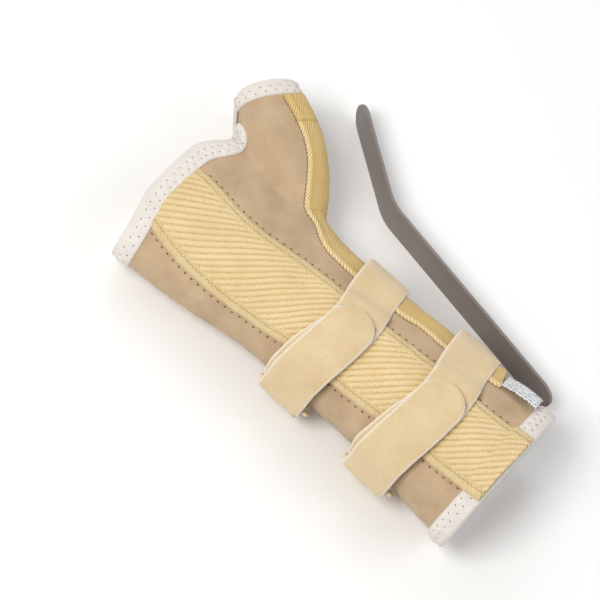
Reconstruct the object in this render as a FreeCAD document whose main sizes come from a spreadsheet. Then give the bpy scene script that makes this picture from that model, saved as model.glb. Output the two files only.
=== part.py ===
import FreeCAD, Part
import os
import Sketcher
from FreeCAD import Placement, Rotation, Vector

# Wrist splint, right hand.  +X runs up the forearm, +Y is the thumb side, +Z is the palm side.
# The back of the splint lies on z = 0.  Millimetres.

os.makedirs("parts", exist_ok=True)
doc = FreeCAD.newDocument("wrist_splint")
sheet = doc.addObject("Spreadsheet::Sheet", "Sizes")

# Turns local X to +Y and local Z to +X, so a section drawn flat stands across the forearm.
ACROSS = Rotation(Vector(1, 1, 1), 120)
STATIONS = 7
THUMB_STATIONS = 7
subparts = {}

SIZES = [
    # name, value, what it is
    ("hand_x", -106.3, "hand edge of the sleeve"),
    ("line_y", -32.5, "centre line of the sleeve"),
    ("place_1", 0, "stations along the sleeve, from the hand edge"),
    ("place_2", 25, ""),
    ("place_3", 54, ""),
    ("place_4", 84, ""),
    ("place_5", 114, "middle of the wrist strap"),
    ("place_6", 170, "middle of the forearm strap"),
    ("place_7", 218, "forearm edge"),
    ("wide_1", 45, "half width at each station"),
    ("wide_2", 45, ""),
    ("wide_3", 42, ""),
    ("wide_4", 37, ""),
    ("wide_5", 36.8, ""),
    ("wide_6", 39.2, ""),
    ("wide_7", 43.6, ""),
    ("high_1", 20, "half height at each station"),
    ("high_2", 22, ""),
    ("high_3", 23, ""),
    ("high_4", 23, ""),
    ("high_5", 24, ""),
    ("high_6", 27, ""),
    ("high_7", 29, ""),
    ("drift_1", 0, "how far the middle leans to the little-finger side at each station"),
    ("drift_2", 0, ""),
    ("drift_3", 0, ""),
    ("drift_4", 0, ""),
    ("drift_5", 0, ""),
    ("drift_6", -1, ""),
    ("drift_7", -4.5, ""),
    ("skin", 1.4, "leatherette and its foam"),
    ("lining", 1.6, "inner cloth"),
    ("thumb_x", 4, "centre of the thumb opening, from the hand edge"),
    ("thumb_y", 74.5, "and from the centre line"),
    ("thumb_z", 29, "and from the table"),
    ("thumb_turn", -38.6, "turn of the thumb sleeve in plan, degrees"),
    ("thumb_dip", 5.5, "its fall towards the table, degrees"),
    ("step_1", 0, "stations along the thumb sleeve, from its opening"),
    ("step_2", 10, ""),
    ("step_3", 20, ""),
    ("step_4", 35, ""),
    ("step_5", 50, ""),
    ("step_6", 65, ""),
    ("step_7", 80, ""),
    ("round_1", 14.5, "radius at each"),
    ("round_2", 17, ""),
    ("round_3", 19.8, ""),
    ("round_4", 21.5, ""),
    ("round_5", 20.5, ""),
    ("round_6", 17, ""),
    ("round_7", 11, ""),
    ("binding_width", 10, "edge binding of the sleeve"),
    ("thumb_binding_width", 8.5, "edge binding of the thumb"),
    ("binding_ply", 0.8, "binding's thickness over the sleeve"),
    ("panel_width", 40, "elastic panel, hems included"),
    ("panel_low", -31.5, "its little-finger edge at the hand, from the centre line"),
    ("panel_turn", 0.2, "its slant, degrees"),
    ("panel_proud", 0.5, "how far it stands above the leatherette"),
    ("hem_width", 5, "width of each hem"),
    ("hem_ply", 0.6, "thickness of each hem"),
    ("pocket_start", 66, "where the pocket leaves the thumb sleeve"),
    ("pocket_mouth", 190, "open end of the pocket"),
    ("pocket_low", 3, "its lower edge round the sleeve, degrees above the thumb side"),
    ("pocket_span", 43, "and how far round it reaches, degrees"),
    ("pocket_thumb_low", -23, "the same on the thumb sleeve, degrees"),
    ("pocket_thumb_span", 81, ""),
    ("pocket_thumb_end", 62, "how far down the thumb sleeve the pocket runs"),
    ("pocket_room", 1.8, "height inside the pocket"),
    ("pocket_ply", 1.0, "webbing"),
    ("pocket_seam", 3, "sewn seam on each side, degrees round the sleeve"),
    ("patch_length", 17, "folded patch at the pocket's thumb end"),
    ("patch_ply", 1.0, ""),
    ("label_long", 20, "care label"),
    ("label_wide", 13, ""),
    ("label_thick", 0.6, ""),
    ("gap", 0.4, "clearance between neighbours that move"),
    ("strap_width", 25, ""),
    ("strap_thick", 2.6, ""),
    ("strap_start", -25, "sewn end of a strap, degrees above the thumb side"),
    ("anchor_span", 14, "its anchor patch, degrees"),
    ("side_gap", 1.4, "strap above the sleeve on the little-finger side"),
    ("tab_end", 1, "tip of a tab, from the centre line"),
    ("hook_ply", 0.9, "hook patch"),
    ("hook_length", 22, ""),
    ("bar_angle", 190, "where a loop's bar lies, degrees round the sleeve"),
    ("wire", 1.1, "loop's wire radius"),
    ("fold_lean", 5, "turn of the fold's open side past the bar's own, degrees"),
    ("loop_drop", 10.5, "from one bar of a loop to the other"),
    ("loop_lean", 300, "direction from the strap's bar to the keeper's bar, degrees"),
    ("loop_play", 0.6, "room beside the strap inside a loop"),
    ("keeper_ply", 1.5, "keeper webbing"),
    ("keeper_width", 22, ""),
    ("keeper_reach", 13, "keeper's length from its bar"),
    ("keeper_lean", -17, "direction of the keeper, degrees"),
    ("stay_width", 19, "metal stay"),
    ("stay_thick", 1.5, ""),
    ("stay_long", 120, "long leg"),
    ("stay_short", 54, "short leg"),
    ("stay_bend", 26, "bend, degrees"),
    ("stay_radius", 28, "bend radius"),
    ("stay_x", 212, "lower end of the stay, from the hand edge"),
    ("stay_y", 59, "and from the centre line"),
    ("stay_turn", 170, "direction of the long leg, degrees"),
    ("spill", 3, "how far cutting solids run past what they cut"),
]
for row, (alias, value, note) in enumerate(SIZES, start=1):
    sheet.set("A%d" % row, alias)
    sheet.set("B%d" % row, str(value))
    sheet.set("C%d" % row, note)
    sheet.setAlias("B%d" % row, alias)
doc.recompute()


def cell(alias):
    """One size's value, for the few sums that are done here."""
    return float(sheet.get(alias))


def bind(thing, **rules):
    """Bind properties of an object to sheet sizes; S. stands for the sheet."""
    for prop, rule in rules.items():
        thing.setExpression(prop.replace("__", "."), rule.replace("S.", "Sizes."))
    return thing


def loft(name, sections):
    made = doc.addObject("Part::Loft", name)
    made.Sections = sections
    made.Solid = True
    made.Ruled = False
    made.Closed = False
    return made


def middle_z(station):
    """Height of the sleeve's middle: the edge bindings, not the cloth, rest on the table."""
    return "(S.high_%d + S.binding_ply)" % station


def middle_y(station):
    return "(S.line_y + S.drift_%d)" % station


def sleeve(name, across, up=None, shift="0"):
    """The sleeve's outer shape, grown by across in Y and up in Z, and moved by shift in Y."""
    up = up or across
    rings = []
    for k in range(STATIONS):
        ring = doc.addObject("Part::Ellipse", "%s_ring_%d" % (name, k + 1))
        ring.Placement = Placement(Vector(), ACROSS)
        past = {0: " - S.spill", STATIONS - 1: " + S.spill"}.get(k, "")
        bind(ring, MajorRadius="S.wide_%d + %s" % (k + 1, across),
             MinorRadius="S.high_%d + %s" % (k + 1, up),
             Placement__Base__x="S.hand_x + S.place_%d%s" % (k + 1, past),
             Placement__Base__y="%s + %s" % (middle_y(k + 1), shift),
             Placement__Base__z=middle_z(k + 1))
        rings.append(ring)
    return loft(name, rings)


def thumb_rotation():
    """Turns local Z down the thumb sleeve's axis, from its opening."""
    return (Rotation(Vector(0, 0, 1), cell("thumb_turn"))
            * Rotation(Vector(0, 1, 0), 90 + cell("thumb_dip")))


def on_thumb(thing, step, turn=0.0):
    """Place an object on the thumb's axis; turn is about that axis, from the thumb side."""
    thing.Placement = Placement(Vector(), thumb_rotation() * Rotation(Vector(0, 0, 1), turn))
    along = "(%s)" % step
    flat = "cos(S.thumb_dip * 1 deg)"
    return bind(
        thing,
        Placement__Base__x="S.hand_x + S.thumb_x + %s * %s * cos(S.thumb_turn * 1 deg)" % (along, flat),
        Placement__Base__y="S.line_y + S.thumb_y + %s * %s * sin(S.thumb_turn * 1 deg)" % (along, flat),
        Placement__Base__z="S.thumb_z - %s * sin(S.thumb_dip * 1 deg)" % along)


def thumb_sleeve(name, grow):
    rings = []
    for k in range(THUMB_STATIONS):
        ring = doc.addObject("Part::Ellipse", "%s_ring_%d" % (name, k + 1))
        past = " - S.spill" if k == 0 else ""
        on_thumb(ring, "S.step_%d%s" % (k + 1, past))
        bind(ring, MajorRadius="S.round_%d + %s" % (k + 1, grow),
             MinorRadius="S.round_%d + %s" % (k + 1, grow))
        rings.append(ring)
    return loft(name, rings)


def box(name, long, wide, tall, at_x, at_y, at_z, turn=None):
    made = doc.addObject("Part::Box", name)
    if turn is not None:
        made.Placement = Placement(Vector(), turn)
    return bind(made, Length=long, Width=wide, Height=tall, Placement__Base__x=at_x,
                Placement__Base__y=at_y, Placement__Base__z=at_z)


def slab(name, start, end):
    """Everything between two distances from the hand edge."""
    return box(name, "(%s) - (%s)" % (end, start), "300", "200", "S.hand_x + %s" % start,
               "S.line_y - 150", "-60")


def sector(name, start, span, station):
    """A wedge round the sleeve's middle at one station, start degrees above the thumb side."""
    made = doc.addObject("Part::Cylinder", name)
    made.Placement = Placement(Vector(), Rotation(Vector(1, 0, 0), start) * ACROSS)
    return bind(made, Radius="120", Height="S.place_%d + 40" % STATIONS, Angle=span,
                Placement__Base__x="S.hand_x - 20", Placement__Base__y=middle_y(station),
                Placement__Base__z=middle_z(station))


def cut(name, base, tool):
    made = doc.addObject("Part::Cut", name)
    made.Base = base
    made.Tool = tool
    return made


def common(name, *shapes):
    made = doc.addObject("Part::MultiCommon", name)
    made.Shapes = list(shapes)
    return made


def fuse(name, *shapes):
    made = doc.addObject("Part::MultiFuse", name)
    made.Shapes = list(shapes)
    return made


def node(name, thing):
    thing.Label = name
    subparts[name] = thing
    return thing


# ---- the sleeve's cloth: leatherette outside, lining inside ----

outside = fuse("outside", sleeve("sleeve_outer", "0"), thumb_sleeve("thumb_outer", "0"))
between = fuse("between", sleeve("sleeve_middle", "(-S.skin)"), thumb_sleeve("thumb_middle", "(-S.skin)"))
inside = fuse("inside", sleeve("sleeve_inner", "(-S.skin - S.lining)"),
              thumb_sleeve("thumb_inner", "(-S.skin - S.lining)"))
hand_slab = slab("sleeve_slab", "0", "S.place_7")
thumb_mouth = on_thumb(doc.addObject("Part::Cylinder", "thumb_mouth"), "-S.spill - 10")
bind(thumb_mouth, Radius="40", Height="S.spill + 10")
body_zone = cut("body_zone", hand_slab, thumb_mouth)

skin = common("skin_layer", cut("skin_wall", outside, between), body_zone)
cloth = common("cloth_layer", cut("cloth_wall", between, inside), body_zone)
laminate = cut("laminate", outside, inside)

panel_turn = Rotation(Vector(0, 0, 1), cell("panel_turn"))


def panel_strip(name, start, wide):
    """A strip along the elastic panel, start from its little-finger edge, seen from above."""
    return box(name, "S.place_7 - S.place_1 + 2 * S.spill", wide, "80", "S.hand_x - S.spill",
               "S.line_y + S.panel_low + %s" % start, "S.high_5", panel_turn)


panel_zone = panel_strip("panel_zone", "0", "S.panel_width")
bare_skin = cut("bare_skin", skin, panel_zone)
lower = slab("lower_half", "-S.spill", "S.place_7 + S.spill")
bind(lower, Height="S.high_1 * 0.6 + 60")
ulnar_half = slab("ulnar_half", "-S.spill", "S.place_7 + S.spill")
bind(ulnar_half, Width="150 + S.panel_low + S.panel_width / 2", Height="300")
upper_skin = cut("upper_skin", bare_skin, lower)

node("dorsal_shell", common("dorsal_piece", bare_skin, lower))
node("ulnar_shell", common("ulnar_piece", upper_skin, ulnar_half))
node("thenar_shell", cut("thenar_piece", upper_skin, ulnar_half))
node("palm_lining", cut("palm_cloth", cloth, lower))
node("back_lining", common("back_cloth", cloth, lower))

# ---- elastic panel and its hems ----

panel_top = sleeve("panel_top", "S.panel_proud")
hem_top = sleeve("hem_top", "S.panel_proud + S.hem_ply")
panel_slab = slab("panel_slab", "S.binding_width", "S.place_7 - S.binding_width")
panel_wall = cut("panel_wall", panel_top, between)
node("elastic_panel", common("panel_piece", panel_wall, panel_zone, panel_slab))
hem_wall = cut("hem_wall", hem_top, panel_top)
for hem, start in (("ulnar", "0"), ("radial", "S.panel_width - S.hem_width")):
    strip = panel_strip("%s_hem_strip" % hem, start, "S.hem_width")
    node("%s_panel_hem" % hem, common("%s_hem_piece" % hem, hem_wall, strip, panel_slab))

# ---- edge bindings, folded over the cloth ----

binding_outer = sleeve("binding_outer", "S.binding_ply")
binding_inner = sleeve("binding_sleeve_inner", "(-S.skin - S.lining - S.binding_ply)")
binding_ring = cut("binding_ring", binding_outer, binding_inner)
sleeve_cloth = common("sleeve_cloth", laminate, body_zone)
thumb_core = thumb_sleeve("thumb_core", "S.binding_ply + S.gap")
for edge, start, end in (("hand", "(-S.binding_ply)", "S.binding_width"),
                         ("forearm", "S.place_7 - S.binding_width", "S.place_7 + S.binding_ply")):
    ring = common("%s_ring" % edge, binding_ring, slab("%s_slab" % edge, start, end))
    ring = cut("%s_ring_folded" % edge, ring, sleeve_cloth)
    if edge == "hand":
        ring = cut("hand_ring_open", ring, thumb_core)
    node("%s_binding" % edge, ring)

thumb_ring = cut("thumb_ring", thumb_sleeve("binding_thumb_outer", "S.binding_ply"),
                 thumb_sleeve("binding_thumb_inner", "(-S.skin - S.lining - S.binding_ply)"))
thumb_slab = on_thumb(doc.addObject("Part::Cylinder", "thumb_slab"), "-S.binding_ply")
bind(thumb_slab, Radius="40", Height="S.thumb_binding_width + S.binding_ply")
thumb_ring = common("thumb_ring_trimmed", thumb_ring, thumb_slab)
node("thumb_binding", cut("thumb_ring_folded", thumb_ring, sleeve_cloth))

# ---- stay pocket: webbing sewn down along both edges, open at the forearm end ----


def pocket_layer(name, outer_rule, inner, margin, start_past, mouth_past):
    """The pocket's strip between a grown outer shape and an inner one, less a margin each side."""
    grown_sleeve = sleeve("%s_sleeve" % name, outer_rule)
    grown_thumb = thumb_sleeve("%s_thumb" % name, outer_rule)
    wedge = sector("%s_wedge" % name, cell("pocket_low") + margin * cell("pocket_seam"),
                   "S.pocket_span - %d * S.pocket_seam" % (2 * margin), 5)
    run = slab("%s_run" % name, "S.pocket_start", "S.pocket_mouth + %s" % mouth_past)
    thumb_wedge = doc.addObject("Part::Cylinder", "%s_thumb_wedge" % name)
    low = cell("pocket_thumb_low") + margin * cell("pocket_seam")
    on_thumb(thumb_wedge, "S.thumb_binding_width + 0.5 + %s" % start_past, 90 - low
             - cell("pocket_thumb_span") + 2 * margin * cell("pocket_seam"))
    bind(thumb_wedge, Radius="60", Angle="S.pocket_thumb_span - %d * S.pocket_seam" % (2 * margin),
         Height="S.pocket_thumb_end - S.thumb_binding_width - %s" % start_past)
    along = common("%s_along" % name, grown_sleeve, wedge, run)
    beside = common("%s_beside" % name, grown_thumb, thumb_wedge)
    return cut("%s_forearm" % name, along, inner), cut("%s_thenar" % name, beside, inner)


long_block, short_block = pocket_layer("pocket_block", "S.pocket_room + S.pocket_ply", outside, 0,
                                       "0", "0")
long_space, short_space = pocket_layer("pocket_space", "S.pocket_room", outside, 1,
                                       "S.patch_length", "S.spill")
node("stay_pocket", cut("pocket_piece", long_block, long_space))
node("thenar_pocket", cut("thenar_pocket_piece", cut("short_run", short_block, long_block), short_space))

# ---- straps ----

thumb_gap = "(S.pocket_room + S.pocket_ply + S.gap)"
strap_in_y = "(%s + S.side_gap) / 2" % thumb_gap
strap_in_shift = "(%s - S.side_gap) / 2" % thumb_gap
tab_side = "(S.side_gap + S.strap_thick + 2 * (S.wire + S.gap))"
tab_thumb = "(%s + S.strap_thick + S.gap)" % thumb_gap
tab_y = "(%s + %s) / 2" % (tab_side, tab_thumb)
tab_shift = "(%s - %s) / 2" % (tab_thumb, tab_side)
strap_under = sleeve("strap_under", strap_in_y, "S.pocket_room + S.pocket_ply + S.gap", strap_in_shift)
strap_over = sleeve("strap_over", strap_in_y + " + S.strap_thick",
                    "%s + S.strap_thick" % thumb_gap, strap_in_shift)
tab_under = sleeve("tab_under", tab_y, tab_thumb, tab_shift)
tab_hook = sleeve("tab_hook", tab_y + " + S.hook_ply", tab_thumb + " + S.hook_ply", tab_shift)
tab_over = sleeve("tab_over", tab_y + " + S.strap_thick + S.hook_ply",
                  tab_thumb + " + S.strap_thick + S.hook_ply", tab_shift)
strap_wall = cut("strap_wall", strap_over, strap_under)
anchor_wall = cut("anchor_wall", strap_under, outside)
tab_wall = cut("tab_wall", tab_over, tab_under)
hook_wall = cut("hook_wall", tab_hook, tab_under)

bar_off = "(S.side_gap + S.strap_thick + S.gap + S.wire)"
ALONG_X = Rotation(Vector(0, 1, 0), 90)


def strap(side, station):
    """One strap with its anchor, fold, tab, hook patch, loop and keeper, at a station."""
    middle = "S.place_%d" % station
    run = slab("%s_run" % side, middle + " - S.strap_width / 2", middle + " + S.strap_width / 2")
    start = cell("strap_start")
    lean = cell("bar_angle") + cell("fold_lean")
    root = sector("%s_root" % side, start, "S.anchor_span", station)
    node("%s_strap_anchor" % side, common("%s_anchor_piece" % side, anchor_wall, root, run))

    bar_y = "(%s + (S.wide_%d + %s) * cos(S.bar_angle * 1 deg))" % (middle_y(station), station, bar_off)
    bar_z = "(%s + (S.high_%d + %s) * sin(S.bar_angle * 1 deg))" % (middle_z(station), station, bar_off)
    low_y = "(%s + S.loop_drop * cos(S.loop_lean * 1 deg))" % bar_y
    low_z = "(%s + S.loop_drop * sin(S.loop_lean * 1 deg))" % bar_z

    def rod(name, radius, length, at_y, at_z, turn=ALONG_X, start_x=None):
        made = doc.addObject("Part::Cylinder", "%s_%s" % (side, name))
        made.Placement = Placement(Vector(), turn)
        x = start_x or "S.hand_x + %s - (%s) / 2" % (middle, length)
        return bind(made, Radius=radius, Height=length, Placement__Base__x=x,
                    Placement__Base__y=at_y, Placement__Base__z=at_z)

    # The fold: half a turn of strap round the upper bar, from under it to outside it.
    fold = rod("fold_round", "S.wire + S.gap + S.strap_thick", "S.strap_width", bar_y, bar_z,
               Rotation(Vector(1, 0, 0), lean) * ACROSS)
    bind(fold, Angle="180")
    core = rod("fold_core", "S.wire + S.gap", "S.strap_width + 2", bar_y, bar_z)
    node("%s_strap_fold" % side, cut("%s_fold_piece" % side, fold, core))
    turn = "((S.bar_angle + S.fold_lean) * 1 deg)"
    below = box("%s_below_fold" % side, "S.strap_width + 2", "30", "30",
                "S.hand_x + %s - S.strap_width / 2 - 1" % middle, "%s - 15 * cos%s" % (bar_y, turn),
                "%s - 15 * sin%s" % (bar_z, turn), Rotation(Vector(1, 0, 0), lean))
    fold_room = fuse("%s_fold_room" % side, core, below)

    # The run: from the anchor over the palm to the fold, under the bar.
    wedge = sector("%s_wedge" % side, start, "S.bar_angle + S.fold_lean - S.strap_start", station)
    run_block = common("%s_run_block" % side, strap_wall, wedge, run)
    node("%s_strap" % side, cut("%s_strap_piece" % side, run_block, fold_room))

    # The tab: rounded end on the palm, from the fold back over the strap.
    reach = box("%s_reach" % side, "S.strap_width", "120", "120", "S.hand_x + %s - S.strap_width / 2"
                % middle, "S.line_y + S.tab_end - S.strap_width / 2 - 120", "-10")
    tip = rod("tip", "S.strap_width / 2", "120", "S.line_y + S.tab_end - S.strap_width / 2", "-10",
              Rotation(), "S.hand_x + %s" % middle)
    outline = fuse("%s_outline" % side, reach, tip)
    tab_wedge = sector("%s_tab_wedge" % side, 60, "S.bar_angle + S.fold_lean - 60", station)
    tab_block = cut("%s_tab_block" % side, common("%s_tab_run" % side, tab_wall, tab_wedge, outline),
                    fold_room)
    hook_zone = slab("%s_hook_zone" % side, middle + " - S.strap_width / 2",
                     middle + " + S.strap_width / 2")
    bind(hook_zone, Width="60", Placement__Base__y="S.line_y + S.tab_end - S.hook_length")
    hook = common("%s_hook_piece" % side, hook_wall, tab_wedge, outline, hook_zone)
    node("%s_strap_tab" % side, cut("%s_tab_piece" % side, tab_block, hook))
    node("%s_hook_patch" % side, hook)

    # The loop: two bars along the sleeve and two sides, with round corners.
    inner = "(S.strap_width + 2 * S.loop_play + 2 * S.wire)"
    pieces = [rod("bar", "S.wire", inner, bar_y, bar_z), rod("low_bar", "S.wire", inner, low_y, low_z)]
    side_turn = Rotation(Vector(1, 0, 0), cell("loop_lean") - 90)
    for hand, sign in (("near", "-"), ("far", "+")):
        x = "S.hand_x + %s %s %s / 2" % (middle, sign, inner)
        pieces.append(rod("side_" + hand, "S.wire", "S.loop_drop", bar_y, bar_z, side_turn, x))
        for corner, at_y, at_z in (("top", bar_y, bar_z), ("low", low_y, low_z)):
            ball = doc.addObject("Part::Sphere", "%s_%s_%s" % (side, hand, corner))
            pieces.append(bind(ball, Radius="S.wire", Placement__Base__x=x,
                               Placement__Base__y=at_y, Placement__Base__z=at_z))
    node("%s_loop" % side, fuse("%s_loop_piece" % side, *pieces))

    # The keeper: webbing round the lower bar, sewn to the sleeve.
    wrap = rod("keeper_wrap", "S.wire + S.gap + S.keeper_ply", "S.keeper_width", low_y, low_z)
    hole = rod("keeper_hole", "S.wire + S.gap", "S.keeper_width + 2", low_y, low_z)
    tongue = box("%s_tongue" % side, "S.keeper_width", "S.keeper_reach", "2 * S.keeper_ply",
                 "S.hand_x + %s - S.keeper_width / 2" % middle,
                 "%s + S.keeper_ply * sin(S.keeper_lean * 1 deg)" % low_y,
                 "%s - S.keeper_ply * cos(S.keeper_lean * 1 deg)" % low_z,
                 Rotation(Vector(1, 0, 0), cell("keeper_lean")))
    keeper = fuse("%s_keeper_block" % side, wrap, tongue)
    keeper = cut("%s_keeper_open" % side, keeper, hole)
    node("%s_loop_keeper" % side, cut("%s_keeper_piece" % side, keeper, outside))


strap("wrist", 5)
strap("forearm", 6)

# ---- pocket's end patch and the care label ----

patch_top = thumb_sleeve("patch_top", "S.pocket_room + S.pocket_ply + S.patch_ply")
patch_base = thumb_sleeve("patch_base", "S.pocket_room + S.pocket_ply")
patch_wedge = doc.addObject("Part::Cylinder", "patch_wedge")
on_thumb(patch_wedge, "S.thumb_binding_width + 0.5", 90 - cell("pocket_thumb_low")
         - cell("pocket_thumb_span"))
bind(patch_wedge, Radius="60", Height="S.patch_length", Angle="S.pocket_thumb_span / 2")
patch_wall = common("patch_wall", cut("patch_ring", patch_top, patch_base), patch_wedge)
node("pocket_end_patch", cut("patch_piece", patch_wall, fuse("patch_clear", outside, short_block)))

label = box("label_sheet", "S.label_long", "S.label_wide", "S.label_thick",
            "S.hand_x + S.pocket_mouth + 1", "S.line_y + S.wide_6 * 0.62 + S.gap",
            "S.high_6 + S.high_6 * 0.9 + S.gap", Rotation(Vector(1, 0, 0), -38))
node("care_label", label)

# ---- metal stay: a flat bar bent once about its width, standing on its edge ----

stay = doc.addObject("PartDesign::Body", "stay_body")
plane = [f for f in stay.Origin.OriginFeatures if f.Role == "XY_Plane"][0]
path = stay.newObject("Sketcher::SketchObject", "stay_path")
path.AttachmentSupport = (plane, "")
path.MapMode = "FlatFace"
long_leg = cell("stay_long")
short_leg = cell("stay_short")
thick = cell("stay_thick")
radius = cell("stay_radius")
bent = Rotation(Vector(0, 0, 1), -cell("stay_bend"))
centre = Vector(long_leg, -radius, 0)
bend_in = centre + bent.multVec(Vector(0, radius, 0))
bend_out = centre + bent.multVec(Vector(0, radius + thick, 0))
leg = bent.multVec(Vector(short_leg, 0, 0))
mid_turn = Rotation(Vector(0, 0, 1), -cell("stay_bend") / 2)
mid_in = centre + mid_turn.multVec(Vector(0, radius, 0))
mid_out = centre + mid_turn.multVec(Vector(0, radius + thick, 0))
LONG_IN, BEND_IN, SHORT_IN, TIP, SHORT_OUT, BEND_OUT, LONG_OUT, HEEL = range(8)
path.addGeometry([
    Part.LineSegment(Vector(), Vector(long_leg, 0, 0)),
    Part.Arc(bend_in, mid_in, Vector(long_leg, 0, 0)),
    Part.LineSegment(bend_in, bend_in + leg),
    Part.LineSegment(bend_in + leg, bend_out + leg),
    Part.LineSegment(bend_out + leg, bend_out),
    Part.Arc(bend_out, mid_out, Vector(long_leg, thick, 0)),
    Part.LineSegment(Vector(long_leg, thick, 0), Vector(0, thick, 0)),
    Part.LineSegment(Vector(0, thick, 0), Vector()),
], False)
START, END, MIDDLE = 1, 2, 3
rules = [
    ("Coincident", LONG_IN, START, -1, 1),
    ("Horizontal", LONG_IN),
    ("Vertical", HEEL),
    ("Horizontal", LONG_OUT),
    ("Tangent", LONG_IN, END, BEND_IN, END),
    ("Tangent", BEND_IN, START, SHORT_IN, START),
    ("Perpendicular", SHORT_IN, END, TIP, START),
    ("Coincident", TIP, END, SHORT_OUT, START),
    ("Tangent", SHORT_OUT, END, BEND_OUT, START),
    ("Tangent", BEND_OUT, END, LONG_OUT, START),
    ("Coincident", LONG_OUT, END, HEEL, START),
    ("Coincident", HEEL, END, LONG_IN, START),
    ("Coincident", BEND_IN, MIDDLE, BEND_OUT, MIDDLE),
    ("Parallel", SHORT_IN, SHORT_OUT),
]
for rule in rules:
    path.addConstraint(Sketcher.Constraint(*rule))
sized = [
    ("stay_long", ("DistanceX", LONG_IN, START, LONG_IN, END, long_leg)),
    ("stay_radius", ("Radius", BEND_IN, radius)),
    ("stay_short", ("Distance", SHORT_IN, short_leg)),
    ("stay_thick", ("Distance", HEEL, thick)),
]
for alias, rule in sized:
    index = path.addConstraint(Sketcher.Constraint(*rule))
    path.setExpression("Constraints[%d]" % index, "Sizes.%s" % alias)
opening = FreeCAD.Units.Quantity("%g deg" % (180 - cell("stay_bend")))
turn = path.addConstraint(Sketcher.Constraint("Angle", LONG_IN, END, SHORT_IN, START, opening))
path.setExpression("Constraints[%d]" % turn, "(180 - Sizes.stay_bend) * 1 deg")
bar = stay.newObject("PartDesign::Pad", "stay_bar")
bar.Profile = path
bind(bar, Length="S.stay_width")
doc.recompute()
ends = ["Edge%d" % (k + 1) for k, e in enumerate(bar.Shape.Edges) if abs(e.Length - thick) < 1e-6]
round_ends = stay.newObject("PartDesign::Fillet", "round_ends")
round_ends.Base = (bar, ends)
bind(round_ends, Radius="S.stay_width / 2 - 0.2")
stay.Placement = Placement(Vector(), Rotation(Vector(0, 0, 1), cell("stay_turn")))
bind(stay, Placement__Base__x="S.hand_x + S.stay_x", Placement__Base__y="S.line_y + S.stay_y")
node("radial_stay", stay)

# ---- check and write ----

doc.recompute()
faults = [o.Name for o in doc.Objects if "Invalid" in o.State or "Error" in o.State]
if faults:
    raise RuntimeError("failed: " + ", ".join(faults))
for name, thing in subparts.items():
    shape = thing.Shape
    if shape.isNull() or not shape.isValid() or not shape.Solids:
        raise RuntimeError("bad shape: " + name)
    print("%-20s solids %d volume %8.0f box %s" % (name, len(shape.Solids), shape.Volume, shape.BoundBox))
    shape.exportStep("parts/%s.step" % name)
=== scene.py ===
import math

import bmesh
import bpy
import numpy as np
from mathutils import Matrix, Vector, noise
from mathutils.bvhtree import BVHTree


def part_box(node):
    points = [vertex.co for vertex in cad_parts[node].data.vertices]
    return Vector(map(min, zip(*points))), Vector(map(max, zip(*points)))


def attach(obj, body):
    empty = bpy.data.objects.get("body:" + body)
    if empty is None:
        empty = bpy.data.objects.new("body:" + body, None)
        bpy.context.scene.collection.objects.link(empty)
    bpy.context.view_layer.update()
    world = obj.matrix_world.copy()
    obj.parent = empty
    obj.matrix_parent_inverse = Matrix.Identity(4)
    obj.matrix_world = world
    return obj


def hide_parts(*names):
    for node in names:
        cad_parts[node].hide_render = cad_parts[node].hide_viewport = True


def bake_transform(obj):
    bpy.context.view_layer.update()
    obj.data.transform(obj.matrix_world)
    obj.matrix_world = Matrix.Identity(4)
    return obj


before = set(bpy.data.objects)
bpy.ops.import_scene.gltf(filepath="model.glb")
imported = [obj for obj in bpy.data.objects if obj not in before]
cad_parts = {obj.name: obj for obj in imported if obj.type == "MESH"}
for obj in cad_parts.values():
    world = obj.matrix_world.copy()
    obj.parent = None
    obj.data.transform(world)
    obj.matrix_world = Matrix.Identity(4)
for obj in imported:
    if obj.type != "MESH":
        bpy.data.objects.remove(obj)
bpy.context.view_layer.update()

# Wrist splint, right hand.  +X runs up the forearm, +Y is the thumb side, +Z the palm side.
# Metres.  A place on the sleeve is given by how far it is from the hand edge and by its turn
# round the sleeve's middle, in degrees from the thumb side, 90 being the palm.
MM = 0.001
HAND_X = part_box("dorsal_shell")[0][0]
FOREARM_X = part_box("dorsal_shell")[1][0]
LENGTH = FOREARM_X - HAND_X
WRIST_X = sum(c[0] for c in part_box("wrist_strap")) / 2
UPPER_X = sum(c[0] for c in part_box("forearm_strap")) / 2
LINE_Y = sum(c[1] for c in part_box("hand_binding")) / 2
BINDING_PLY = 0.8 * MM

# Sleeve: distance from the hand edge, half width, half height, lean to the little-finger side.
STATIONS = [(0, 45, 20, 0), (25, 45, 22, 0), (54, 42, 23, 0), (84, 37, 23, 0), (114, 36.8, 24, 0),
            (170, 39.2, 27, -1), (218, 43.6, 29, -4.5)]
# Thumb sleeve: distance from its opening, radius.
THUMB_STATIONS = [(0, 14.5), (10, 17), (20, 19.8), (35, 21.5), (50, 20.5), (65, 17), (80, 11)]
THUMB_MOUTH = Vector((HAND_X + 4 * MM, LINE_Y + 74.5 * MM, 29 * MM))
THUMB_AXIS = Vector((math.cos(math.radians(38.6)), -math.sin(math.radians(38.6)),
                     -math.sin(math.radians(5.5)))).normalized()
SKIN = 1.4 * MM
LINING = 1.2 * MM
# Cloth that would sink into the table is laid this far above it.
TABLE_GAP = 0.05 * MM


# ---- small tools ----

def deselect():
    if bpy.context.object and bpy.context.object.mode != "OBJECT":
        bpy.ops.object.mode_set(mode="OBJECT")
    bpy.ops.object.select_all(action="DESELECT")


def pick(thing):
    deselect()
    thing.select_set(True)
    bpy.context.view_layer.objects.active = thing
    return thing


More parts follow.
